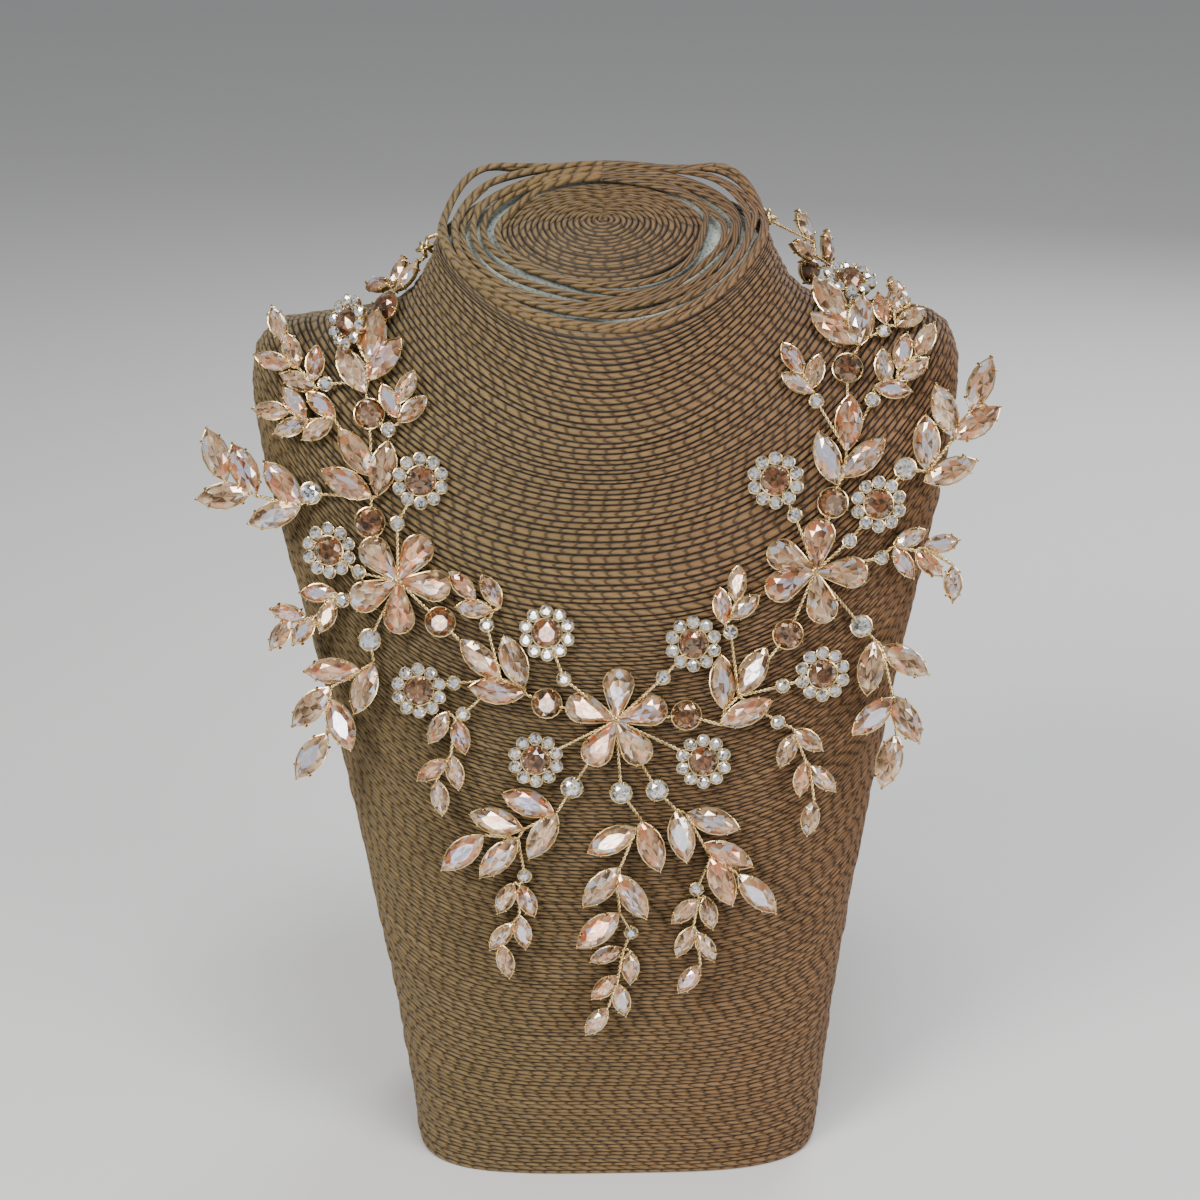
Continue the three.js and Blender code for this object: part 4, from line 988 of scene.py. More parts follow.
class MotifReader:
    """Finds the stones of a motif from the flat tables of its solid."""

    QUADS = (LARGE_LEAF, SMALL_LEAF, PETAL)
    ROUNDS = ((3, LARGE_CLEAR), (3, SMALL_CLEAR), (5, CHATON), (10, CHATON))
    NEAR_END = 1.3 * MM

    def __init__(self, node: bpy.types.Object) -> None:
        """Reads the solid of one node.

        Args:
            node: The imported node.
        """
        self.mesh = bmesh.new()
        self.mesh.from_mesh(node.data)
        bmesh.ops.remove_doubles(self.mesh, verts=self.mesh.verts, dist=2e-6)
        self.mesh.normal_update()
        self.corners = np.array([v.co for v in self.mesh.verts])

    def outlines(self) -> list[tuple[Vector, list[Vector]]]:
        """Gives each flat face's normal and its corners in order."""
        found = []
        seen: set[bmesh.types.BMFace] = set()
        for first in self.mesh.faces:
            if first in seen or first.calc_area() < 1e-9:
                continue
            flat, stack = {first}, [first]
            while stack:
                for edge in stack.pop().edges:
                    for other in edge.link_faces:
                        if other not in flat and other.normal.dot(first.normal) > 0.99999:
                            flat.add(other)
                            stack.append(other)
            seen |= flat
            rim = [e for f in flat for e in f.edges if sum(g in flat for g in e.link_faces) == 1]
            corners = []
            for vert in {v for e in rim for v in e.verts}:
                meeting = [e for e in rim if vert in e.verts]
                if len(meeting) != 2:
                    continue
                ways = [(e.other_vert(vert).co - vert.co).normalized() for e in meeting]
                if ways[0].dot(ways[1]) > -0.997:
                    corners.append(vert.co.copy())
            if 3 <= len(corners) <= 10:
                found.append((first.normal.copy(), self.in_order(corners, first.normal)))
        return found

    def in_order(self, corners: list[Vector], normal: Vector) -> list[Vector]:
        """Puts the corners of a flat face in order round its middle, from the one farthest along X.

        Args:
            corners: The corners as found.
            normal: The face's normal.

        Returns:
            The corners in order.
        """
        middle = sum(corners, Vector()) / len(corners)
        first = (max(corners, key=lambda c: (round(c.x, 6), round(c.z, 6))) - middle).normalized()
        beside = normal.cross(first)

        def turned(corner: Vector) -> float:
            """Gives the angle of a corner round the middle."""
            away = corner - middle
            return round(math.atan2(away.dot(beside), away.dot(first)), 6) % FULL_TURN

        return sorted(corners, key=turned)

    def seats(self, shortest: float) -> list[Seat]:
        """Gives every stone of the motif.

        Args:
            shortest: The least share of a table's length that a neighbour may have left.

        Returns:
            The stones' seats.
        """
        found = []
        for facing, corners in self.outlines():
            middle = sum(corners, Vector()) / len(corners)
            if facing.dot(EYE - middle) <= 0:
                continue
            if len(corners) == 4:
                seat = self.quad(facing, middle, corners, shortest)
            else:
                seat = self.round(facing, middle, corners)
            if seat:
                found.append(seat)
        return self.petals_outward(found)

    def frame(
        self, cut: StoneCut, heading: Vector, facing: Vector, middle: Vector, table_x: float
    ) -> Matrix:
        """Gives the matrix from a stone's own frame to the bust's."""
        back = middle - facing * (GIRDLE_HEIGHT + cut.crown) - heading * table_x
        return Matrix.Translation(back) @ standing(heading, facing)

    def quad(self, facing: Vector, middle: Vector, corners: list[Vector], shortest: float) -> Seat | None:
        """Takes a four-cornered table for a leaf or a petal where both its diagonals fit one."""
        spans = sorted((corners[2] - corners[0], corners[3] - corners[1]), key=lambda s: s.length)
        for cut in self.QUADS:
            fits = (
                shortest * LEAF_TABLE * cut.length < spans[1].length < LEAF_TABLE * cut.length + 0.12 * MM
                and abs(spans[0].length - LEAF_TABLE * cut.width) < 0.14 * MM
            )
            if fits:
                heading = spans[1].normalized()
                place = self.frame(cut, heading, facing, middle, cut.round_middle / 2)
                return Seat(cut, place, heading, facing)
        return None

    def round(self, facing: Vector, middle: Vector, corners: list[Vector]) -> Seat | None:
        """Takes a table with even corners for a round stone where their distance fits one."""
        reaches = [(c - middle).length for c in corners]
        for count, cut in self.ROUNDS:
            reach = ROUND_TABLE * cut.width / 2
            if len(corners) == count and all(abs(r - reach) < 0.06 * MM for r in reaches):
                heading = (corners[0] - middle).normalized()
                place = self.frame(cut, heading, facing, middle, 0)
                return Seat(cut, place, heading, facing, tuple(corners))
        return None

    def petals_outward(self, seats: list[Seat]) -> list[Seat]:
        """Turns every petal so that its round end lies away from the middle of its flower."""
        petals = [s for s in seats if s.cut is PETAL]
        if not petals:
            return seats
        tables = [s.at(PETAL.round_middle / 2, GIRDLE_HEIGHT + PETAL.crown) for s in petals]
        centre = sum(tables, Vector()) / len(tables)
        turned = []
        for seat, table in zip(petals, tables):
            heading = seat.heading if seat.heading.dot(table - centre) > 0 else -seat.heading
            place = self.frame(PETAL, heading, seat.facing, table, PETAL.round_middle / 2)
            turned.append(Seat(PETAL, place, heading, seat.facing))
        return [s for s in seats if s.cut is not PETAL] + turned

    def inner_end(self, seat: Seat) -> Vector:
        """Gives the end of a leaf that the wires meet: the one with more corners of the solid round it."""
        ends = [seat.at(-seat.cut.length / 2), seat.at(seat.cut.length / 2)]
        far = [np.linalg.norm(self.corners - np.array(end), axis=1) for end in ends]
        near = [int((off < self.NEAR_END).sum()) for off in far]
        return ends[0] if near[0] >= near[1] else ends[1]


@dataclass
class WireWork:
    """Twisted pairs of thin wire."""

    finishes: Finishes
    strand: float = 0.3 * MM
    apart: float = 0.27 * MM
    lay: float = 2.6 * MM
    steps_a_turn: int = 8
    shortest: float = 0.8 * MM

    def twisted(self, name: str, runs: list[tuple[Vector, Vector]]) -> bpy.types.Object | None:
        """Twists a pair of strands along each run.

        Args:
            name: The name of the mesh.
            runs: Where each wire starts and ends.

        Returns:
            All the wires as one mesh, or nothing where there is no run.
        """
        runs = [(a, b) for a, b in runs if (b - a).length > self.shortest]
        if not runs:
            return None
        strands = []
        for start, end in runs:
            way = (end - start).normalized()
            across = way.orthogonal().normalized()
            beside = way.cross(across)
            length = (end - start).length
            steps = max(4, round(length / self.lay * self.steps_a_turn))
            for side in (0.0, math.pi):
                strand = []
                for k in range(steps + 1):
                    along = k / steps
                    angle = side + along * length / self.lay * FULL_TURN
                    out = across * (math.cos(angle) * self.apart) + beside * (math.sin(angle) * self.apart)
                    strand.append((start.lerp(end, along) + out, 1.0))
                strands.append(strand)
        wires = wire_mesh(name, self.strand, 0, strands)
        wires.data.materials.clear()
        wires.data.materials.append(self.finishes.wire)
        return wires


@dataclass
class Motif:
    """One flower, cluster, chaton, trio, spray or sprig of the necklace."""

    name: str
    node: bpy.types.Object
    finishes: Finishes
    seats: list[Seat] = field(init=False)
    anchors: list[Vector] = field(init=False)

    def __post_init__(self) -> None:
        """Reads the stones and the places where wires can start."""
        reader = MotifReader(self.node)
        shortest = 0.75 if self.name == "sprig_right_top" else 0.97
        spray = self.name.startswith("spray")
        self.seats = [s for s in reader.seats(shortest) if s.cut is not LARGE_CLEAR or spray]
        self.anchors = [
            reader.inner_end(s) if s.cut in (LARGE_LEAF, SMALL_LEAF) else s.at(0.0)
            for s in self.seats if s.cut is not PETAL
        ]
        petals = [s for s in self.seats if s.cut is PETAL]
        if petals:
            tips = [s.at(-PETAL.length / 2 + 0.6 * MM) for s in petals]
            self.anchors.append(sum(tips, Vector()) / len(tips))

    def glass_of(self, seat: Seat, order: int) -> bpy.types.Material:
        """Gives the glass of a stone by its size and by its order in the motif."""
        if seat.cut is CHATON:
            return self.finishes.amber
        if seat.cut in (LARGE_CLEAR, SMALL_CLEAR):
            return self.finishes.clear
        return self.finishes.peach if order % 3 == 1 else self.finishes.champagne

    def stones(self, bench: StoneBench) -> list[bpy.types.Object]:
        """Sets all the stones of the motif.

        Args:
            bench: The bench that cuts and copies them.

        Returns:
            The placed stones, with the ring of each cluster.
        """
        placed = []
        for order, seat in enumerate(self.seats):
            placed.append(bench.placed(seat.cut, self.glass_of(seat, order), seat.place))
            if len(seat.corners) == 10:
                middle = seat.at(0.0, 0.0)
                for corner in seat.corners:
                    out = corner - seat.at(0.0, GIRDLE_HEIGHT + CHATON.crown)
                    heading = out.normalized()
                    spot = Matrix.Translation(middle + heading * CLUSTER_RING)
                    spot = spot @ standing(heading, seat.facing)
                    placed.append(bench.placed(RING_CLEAR, self.finishes.clear, spot))
        return placed

    def stems(self) -> list[tuple[Vector, Vector]]:
        """Joins the anchors of the motif by the shortest wires that reach them all."""
        runs = []
        reached, left = self.anchors[:1], list(self.anchors[1:])
        while left:
            pairs = ((a, b) for a in reached for b in left)
            start, end = min(pairs, key=lambda pair: (pair[0] - pair[1]).length)
            runs.append((start, end))
            reached.append(end)
            left.remove(end)
        return runs

    def nearest_tie(self, other: Motif) -> tuple[Vector, Vector]:
        """Gives the shortest wire between an anchor of this motif and one of another."""
        pairs = ((a, b) for a in self.anchors for b in other.anchors)
        return min(pairs, key=lambda pair: (pair[0] - pair[1]).length)


@dataclass
class Necklace:
    """All the motifs of the bib, wired together."""

    frame: dict
    finishes: Finishes
    motifs: dict[str, Motif] = field(default_factory=dict)

    def slot_of(self, name: str) -> str:
        """Gives the record's slot for the stones of a motif."""
        if name.startswith("cluster"):
            return "clear_stone"
        return "amber_stone" if name.startswith("stone_") else "champagne_stone"

    def read(self) -> None:
        """Reads every motif from its solid."""
        plain = ("neck_bust", "chain_left", "chain_right", "clasp")
        counts: dict[str, int] = {}
        for name, node in self.frame["nodes"].items():
            if name not in plain:
                motif = Motif(name, node, self.finishes)
                self.motifs[name] = motif
                for seat in motif.seats:
                    counts[seat.cut.name] = counts.get(seat.cut.name, 0) + 1
                log.info("%s: %s", name, ", ".join(s.cut.name for s in motif.seats))
        log.info("stones read: %s", counts)

    def build(self, chain: NeckChain) -> None:
        """Builds every motif as one piece that stands for its node.

        Args:
            chain: The chain, whose end rings belong to the two back trios.
        """
        bench, wires = StoneBench(self.finishes), WireWork(self.finishes)
        for name, motif in self.motifs.items():
            parts = motif.stones(bench)
            ties = [motif.nearest_tie(self.motifs[other]) for other in TIES.get(name, ())]
            extra = []
            if name in chain.ring_motifs:
                ring, rim = chain.end_ring(name, motif.anchors)
                parts.append(ring)
                extra.append(rim)
            made = wires.twisted(name + "_wires", motif.stems() + ties + extra)
            if made:
                parts.append(made)
            if name.startswith("flower"):
                parts.append(self.boss(motif))
            handed_in(joined("dressed_" + name, parts), self.slot_of(name), name)
        bench.clear_away()

    def boss(self, motif: Motif) -> bpy.types.Object:
        """Makes the small plated knot where the petals of a flower meet.

        Args:
            motif: The flower.

        Returns:
            The knot.
        """
        deselect_all()
        bpy.ops.mesh.primitive_uv_sphere_add(segments=12, ring_count=8, radius=1.3 * MM)
        knot = bpy.context.object
        with editing():
            bpy.ops.transform.resize(value=(1.0, 1.0, 0.6))
        bpy.ops.object.shade_smooth()
        facing = motif.seats[0].facing
        turned = facing.to_track_quat("Z", "Y").to_matrix().to_4x4()
        knot.data.transform(Matrix.Translation(motif.anchors[-1] + facing * 0.4 * MM) @ turned)
        knot.data.materials.append(self.finishes.setting)
        return knot


# The turns that the shape of the wound form was read at: front, side and back as shares of its height,
# half widths as shares of the shoulder's or the neck's, depths ahead and behind, and how square it is
TURN_ROWS = np.array([
    [0.0, 0.0, 0.0, 0.625, 0, 0.88, 0.9, 3.9],
    [0.176, 0.21, 0.2, 0.675, 0, 0.94, 0.95, 3.6],
    [0.3, 0.37, 0.342, 0.75, 0, 0.98, 1.0, 3.2],
    [0.418, 0.536, 0.487, 0.838, 0, 1.0, 1.0, 2.9],
    [0.514, 0.671, 0.61, 0.925, 0, 0.98, 0.98, 2.7],
    [0.581, 0.771, 0.694, 0.985, 0, 0.94, 0.96, 2.5],
    [0.638, 0.84, 0.763, 1.0, 0, 0.89, 0.94, 2.4],
    [0.69, 0.874, 0.81, 0.945, 0, 0.83, 0.92, 2.3],
    [0.738, 0.881, 0.847, 0.8, 0, 0.77, 0.9, 2.2],
    [0.776, 0.886, 0.882, 0, 1.36, 0.71, 0.88, 2.1],
    [0.814, 0.906, 0.919, 0, 1.15, 0.65, 0.86, 2.0],
    [0.852, 0.933, 0.958, 0, 1.04, 0.61, 0.84, 2.0],
    [0.881, 0.951, 0.99, 0, 0.97, 0.5, 0.8, 2.0],
    [0.909, 0.951, 0.985, 0, 0.68, 0.2, 0.66, 2.0],
    [0.957, 0.957, 0.957, 0, 0, -0.3, 0.37, 2.0],
])


@dataclass
class BustForm:
    """The bust's surface: a turn of the cord, and an angle round it from +X towards the back."""

    height: float = 288 * MM
    foot_cut: float = 16 * MM
    shoulder_half: float = 98 * MM
    neck_half: float = 46 * MM
    chest_depth: float = 51 * MM
    back_depth: float = 42 * MM

    @property
    def last_turn(self) -> int:
        """The number of the turn at the middle of the top."""
        return len(TURN_ROWS) - 1

    def rings(self, turns: np.ndarray) -> np.ndarray:
        """Gives the sizes of the rings at the given turns.

        Args:
            turns: The turns.

        Returns:
            Front, side and back height, half width, depth ahead, depth behind and squareness of each.
        """
        front, side, back, shoulder, neck, ahead, behind, square = TURN_ROWS.T
        form_height = self.height + self.foot_cut
        sizes = np.stack([
            *(np.maximum(share * form_height - self.foot_cut, 0.0) for share in (front, side, back)),
            shoulder * self.shoulder_half + neck * self.neck_half,
            ahead * self.chest_depth, behind * self.back_depth, square,
        ], axis=1)
        row = np.clip(np.floor(turns).astype(int), 0, self.last_turn - 1)
        a, b, c, d = (sizes[np.clip(row + k, 0, self.last_turn)] for k in (-1, 0, 1, 2))
        t = (turns - row)[:, None]
        return 0.5 * (
            2 * b + (c - a) * t + (2 * a - 5 * b + 4 * c - d) * t**2 + (3 * b - a - 3 * c + d) * t**3
        )

    def surface(self, turns: np.ndarray, angles: np.ndarray) -> np.ndarray:
        """Gives the points of the surface for arrays of turns and angles of one shape.

        Args:
            turns: The turns.
            angles: The angles.

        Returns:
            The points, with one more axis for X, Y and Z.
        """
        rings = self.rings(turns.ravel()).reshape(turns.shape + (7,))
        front, side, back, half, ahead, behind, square = np.moveaxis(rings, -1, 0)
        across, along = np.cos(angles), np.sin(angles)
        end = np.where(along < 0, front, back)
        tilt = 2 - 0.85 * np.clip((turns - 11.3) / 1.0, 0, 1)
        return np.stack([
            half * np.sign(across) * np.abs(across) ** (2 / square),
            (behind - ahead) / 2 + (behind + ahead) / 2 * np.sign(along) * np.abs(along) ** (2 / square),
            side + (end - side) * np.abs(along) ** tilt,
        ], axis=-1)

    def normals(self, turns: np.ndarray, angles: np.ndarray) -> np.ndarray:
        """Gives the outward normals at the given turns and angles."""
        low, high = np.maximum(turns - 0.02, 0.0), np.minimum(turns + 0.02, self.last_turn - 0.005)
        up = self.surface(high, angles) - self.surface(low, angles)
        on = self.surface(turns, angles + 0.01) - self.surface(turns, angles - 0.01)
        normal = np.cross(on, up)
        return normal / np.maximum(np.linalg.norm(normal, axis=-1, keepdims=True), 1e-12)


@dataclass
class CordWinding:
    """Rows of twisted paper cord laid side by side over the bust, with loose rings on top."""

    form: BustForm
    finishes: Finishes
    pitch: float = 1.62 * MM
    ridge: float = 0.62 * MM
    columns: int = 230
    points_a_row: int = 4
    tight_until: float = 12.0
    crown_from: float = 13.1
    seed: int = 11

    def even_turns(self) -> np.ndarray:
        """Gives the turn of every point up the bust, so that the rows lie about one cord apart."""
        fine = np.linspace(0.0, self.form.last_turn, 4201)
        angles = np.linspace(0, FULL_TURN, 49)[:-1]
        turns, round_it = np.meshgrid(fine, angles, indexing="ij")
        points = self.form.surface(turns, round_it)
        steps = np.linalg.norm(np.diff(points, axis=0), axis=-1)
        height = np.concatenate([[0.0], np.cumsum(np.quantile(steps, 0.55, axis=1))])
        rows = round(height[-1] / self.pitch)
        places = np.linspace(0.0, height[-1], rows * self.points_a_row + 1)
        return np.interp(places, height, fine)

    def wander(self, rows: np.ndarray, angles: np.ndarray, seed: int, waves: int = 4) -> np.ndarray:
        """Gives a smooth number between about -1 and 1 for every row and angle.

        Args:
            rows: The number of each cord row.
            angles: The angles round the bust.
            seed: What the chance starts from.
            waves: The shortest wave, as waves round the bust.

        Returns:
            One number for each row and angle.
        """
        chance = np.random.default_rng(seed)
        kinds = int(rows.max()) + 2
        total = np.zeros((len(rows), len(angles)))
        for wave in range(1, waves + 1):
            phase = chance.uniform(0, FULL_TURN, kinds)[rows]
            size = chance.normal(0, 1, kinds)[rows]
            total += size[:, None] * np.sin(wave * angles[None, :] + phase[:, None]) / math.sqrt(waves)
        return np.clip(total, -1.6, 1.6)

    def drawn_in(self, ring: np.ndarray, sink: float) -> np.ndarray:
        """Gives a ring drawn in towards its middle, so that its closing face stays inside the bust.

        Args:
            ring: The ring's points.
            sink: How far it is lowered.

        Returns:
            The smaller ring.
        """
        middle = ring[:-1].mean(axis=0)
        return middle + (ring - middle) * 0.35 - np.array((0.0, 0.0, sink))

    def section(self, name: str, turns: np.ndarray, first: int, sink: float = 0.0) -> bpy.types.Object:
        """Winds one part of the bust as a closed skin of cord ridges.

        Args:
            name: The piece's name.
            turns: The turn of every point up this part.
            first: The number of the first of these points on the whole bust.
            sink: How far its upper closing face is lowered.

        Returns:
            The wound part.
        """
        count = len(turns)
        angles = np.linspace(0, FULL_TURN, self.columns + 1) + math.pi / 2
        number = np.arange(first, first + count)
        cord, phase = number // self.points_a_row, (number % self.points_a_row) / self.points_a_row
        nearest = np.maximum((number + self.points_a_row // 2) // self.points_a_row, 0)
        slip = self.wander(nearest, angles, self.seed, 5) * 0.13 * self.pitch
        slip *= np.clip(self.form.last_turn - turns, 0, 1)[:, None]
        span = np.gradient(turns)[:, None] * self.points_a_row / self.pitch
        grid_turns = np.clip(turns[:, None] + slip * span, 0.0, self.form.last_turn - 1e-6)
        grid_angles = np.broadcast_to(angles[None, :], grid_turns.shape)
        points = self.form.surface(grid_turns, grid_angles)
        normals = self.form.normals(grid_turns, grid_angles)
        round_top = np.sqrt(np.clip(1 - (2 * phase - 1) ** 2, 0, 1))[:, None]
        proud = np.maximum(self.wander(cord, angles, self.seed + 7, 6), -0.6) * 0.2 * MM
        height = -0.75 * MM + (self.ridge + proud) * round_top * 1.25
        points = points + normals * height[..., None]
        points[:, -1] = points[:, 0]
        first_ring = self.drawn_in(points[0], 20 * MM if first else 0.0)
        last_ring = self.drawn_in(points[-1], sink)
        points = np.concatenate([first_ring[None], points, last_ring[None]])
        number = np.concatenate([number[:1], number, number[-1:]])
        piece = grid_through(points)
        mesh = piece.data
        self.run_along(mesh, points, number / self.points_a_row)
        close_up(1e-6)
        bpy.ops.object.shade_smooth_by_angle(angle=math.radians(60))
        piece.name = mesh.name = name
        mesh.materials.append(self.finishes.cord)
        return piece

    def run_along(self, mesh: bpy.types.Mesh, points: np.ndarray, rows: np.ndarray) -> None:
        """Writes how far along and across its cord each corner lies.

        Args:
            mesh: The wound mesh, with its vertices in rows.
            points: The same vertices as rows and columns.
            rows: The cord's number at every row of vertices.
        """
        steps = np.linalg.norm(np.diff(points, axis=1), axis=-1)
        whole = (rows - 1e-4).astype(int)
        run = np.concatenate([np.zeros((len(points), 1)), np.cumsum(steps, axis=1)], axis=1)
        run += (whole * 0.37 % 1.0)[:, None]
        layer = mesh.uv_layers.active or mesh.uv_layers.new()
        layer.name = CORD_UV
        index = np.zeros(len(mesh.loops), dtype=np.int32)
        mesh.loops.foreach_get("vertex_index", index)
        across = np.broadcast_to(rows[:, None], run.shape)
        uv = np.stack([run.ravel()[index], across.ravel()[index]], axis=1)
        layer.data.foreach_set("uv", uv.astype(np.float32).ravel())

    def loose_ring(self, turn: float, lift: float, stand: float, order: int) -> bpy.types.Object:
        """Lays one loose ring of cord over the top.

        Args:
            turn: Where it lies between the neck and the middle of the top.
            lift: How far it stands off.
            stand: How far it stands up where it loops, towards the back on both sides.
            order: Its number, which gives it its own waves.

        Returns:
            The ring as a closed tube.
        """
        steps, sides, radius = 150, 8, 0.95 * MM
        angles = np.linspace(0, FULL_TURN, steps + 1) + math.pi / 2
        rows = np.full(1, order)
        sway = self.wander(rows, angles, self.seed + 31, 5)[0]
        rise = self.wander(rows, angles, self.seed + 57, 3)[0]
        turns = np.clip(turn + 0.09 * sway, 11.6, 13.7)
        loop_angles, loop_width = (0.62, 2.5), 0.42
        off_loop = [np.arctan2(np.sin(angles - a), np.cos(angles - a)) for a in loop_angles]
        looped = sum(np.exp(-(off / loop_width) ** 2) for off in off_loop)
        centre = self.form.surface(turns, angles) + self.form.normals(turns, angles) * (
            lift + np.maximum(rise, -0.3) * 0.9 * MM
        )[:, None]
        centre += looped[:, None] * stand * np.array((0.0, 0.1, 1.0))
        centre[:, 0] *= 1 + 1.2 * stand * looped
        ahead = np.roll(centre[:-1], -1, axis=0) - np.roll(centre[:-1], 1, axis=0)
        ahead = np.concatenate([ahead, ahead[:1]])
        ahead /= np.linalg.norm(ahead, axis=1, keepdims=True)
        out = self.form.normals(turns, angles)
        out -= ahead * (out * ahead).sum(1, keepdims=True)
        out /= np.linalg.norm(out, axis=1, keepdims=True)
        beside = np.cross(ahead, out)
        spin = np.linspace(0, FULL_TURN, sides + 1)[:, None, None]
        tube = centre[None] - radius * (np.cos(spin) * out[None] + np.sin(spin) * beside[None])
        tube[-1], tube[:, -1] = tube[0], tube[:, 0]
        ring = grid_through(tube)
        self.run_along(ring.data, tube, order * 3.0 + np.linspace(0.0, 0.98, sides + 1))
        close_up(1e-6, fill=False)
        bpy.ops.object.shade_smooth()
        ring.data.materials.append(self.finishes.cord)
        return ring

    def foam(self) -> bpy.types.Object:
        """Makes the foam that shows between the loose rings, a little below them.

        Returns:
            The foam as a closed cap.
        """
        turns = np.linspace(11.6, 13.4, 22)
        angles = np.linspace(0, FULL_TURN, 97)
        grid_turns, grid_angles = np.meshgrid(turns, angles, indexing="ij")
        normals = self.form.normals(grid_turns, grid_angles)
        points = self.form.surface(grid_turns, grid_angles) - normals * 2.2 * MM
        points[:, -1] = points[:, 0]
        ends = self.drawn_in(points[0], 20 * MM), self.drawn_in(points[-1], 8 * MM)
        points = np.concatenate([ends[0][None], points, ends[1][None]])
        cap = grid_through(points)
        close_up(2e-5)
        bpy.ops.object.shade_smooth()
        cap.name = cap.data.name = "foam_core"
        cap.data.materials.append(self.finishes.foam)
        return cap

    def build(self) -> None:
        """Winds the whole bust: base, chest and shoulders, neck, loose rings and crown."""
        turns = self.even_turns()
        step = self.points_a_row
        tight = int(np.searchsorted(turns, self.tight_until)) // step * step
        crown = int(np.searchsorted(turns, self.crown_from)) // step * step
        cuts = [0, tight // 3 // step * step, 2 * tight // 3 // step * step, tight]
        for name, low, high in zip(("cord_base", "cord_chest", "cord_shoulders"), cuts, cuts[1:]):
            sink = 20 * MM if high == tight else 0.0
            handed_in(self.section(name, turns[low : high + 1], low, sink), "paper_cord", "neck_bust")
        handed_in(self.section("cord_crown", turns[crown:], crown), "paper_cord", "neck_bust")
        heights = (0.3, 1.2, 2.0, 1.5, 1.2, 0.9, 0.7, 0.5)
        stands = (8.0, 5.0, 1.0, 2.5, 0.0, 0.0, 0.0, 0.0)
        places = np.linspace(self.tight_until - 0.03, self.crown_from - 0.04, len(heights))
        sizes = enumerate(zip(places, heights, stands))
        rings = [self.loose_ring(t, h * MM, s * MM, k) for k, (t, h, s) in sizes]
        handed_in(joined("loose_rings", rings), "paper_cord", "neck_bust")
        handed_in(self.foam(), "paper_cord", "neck_bust")


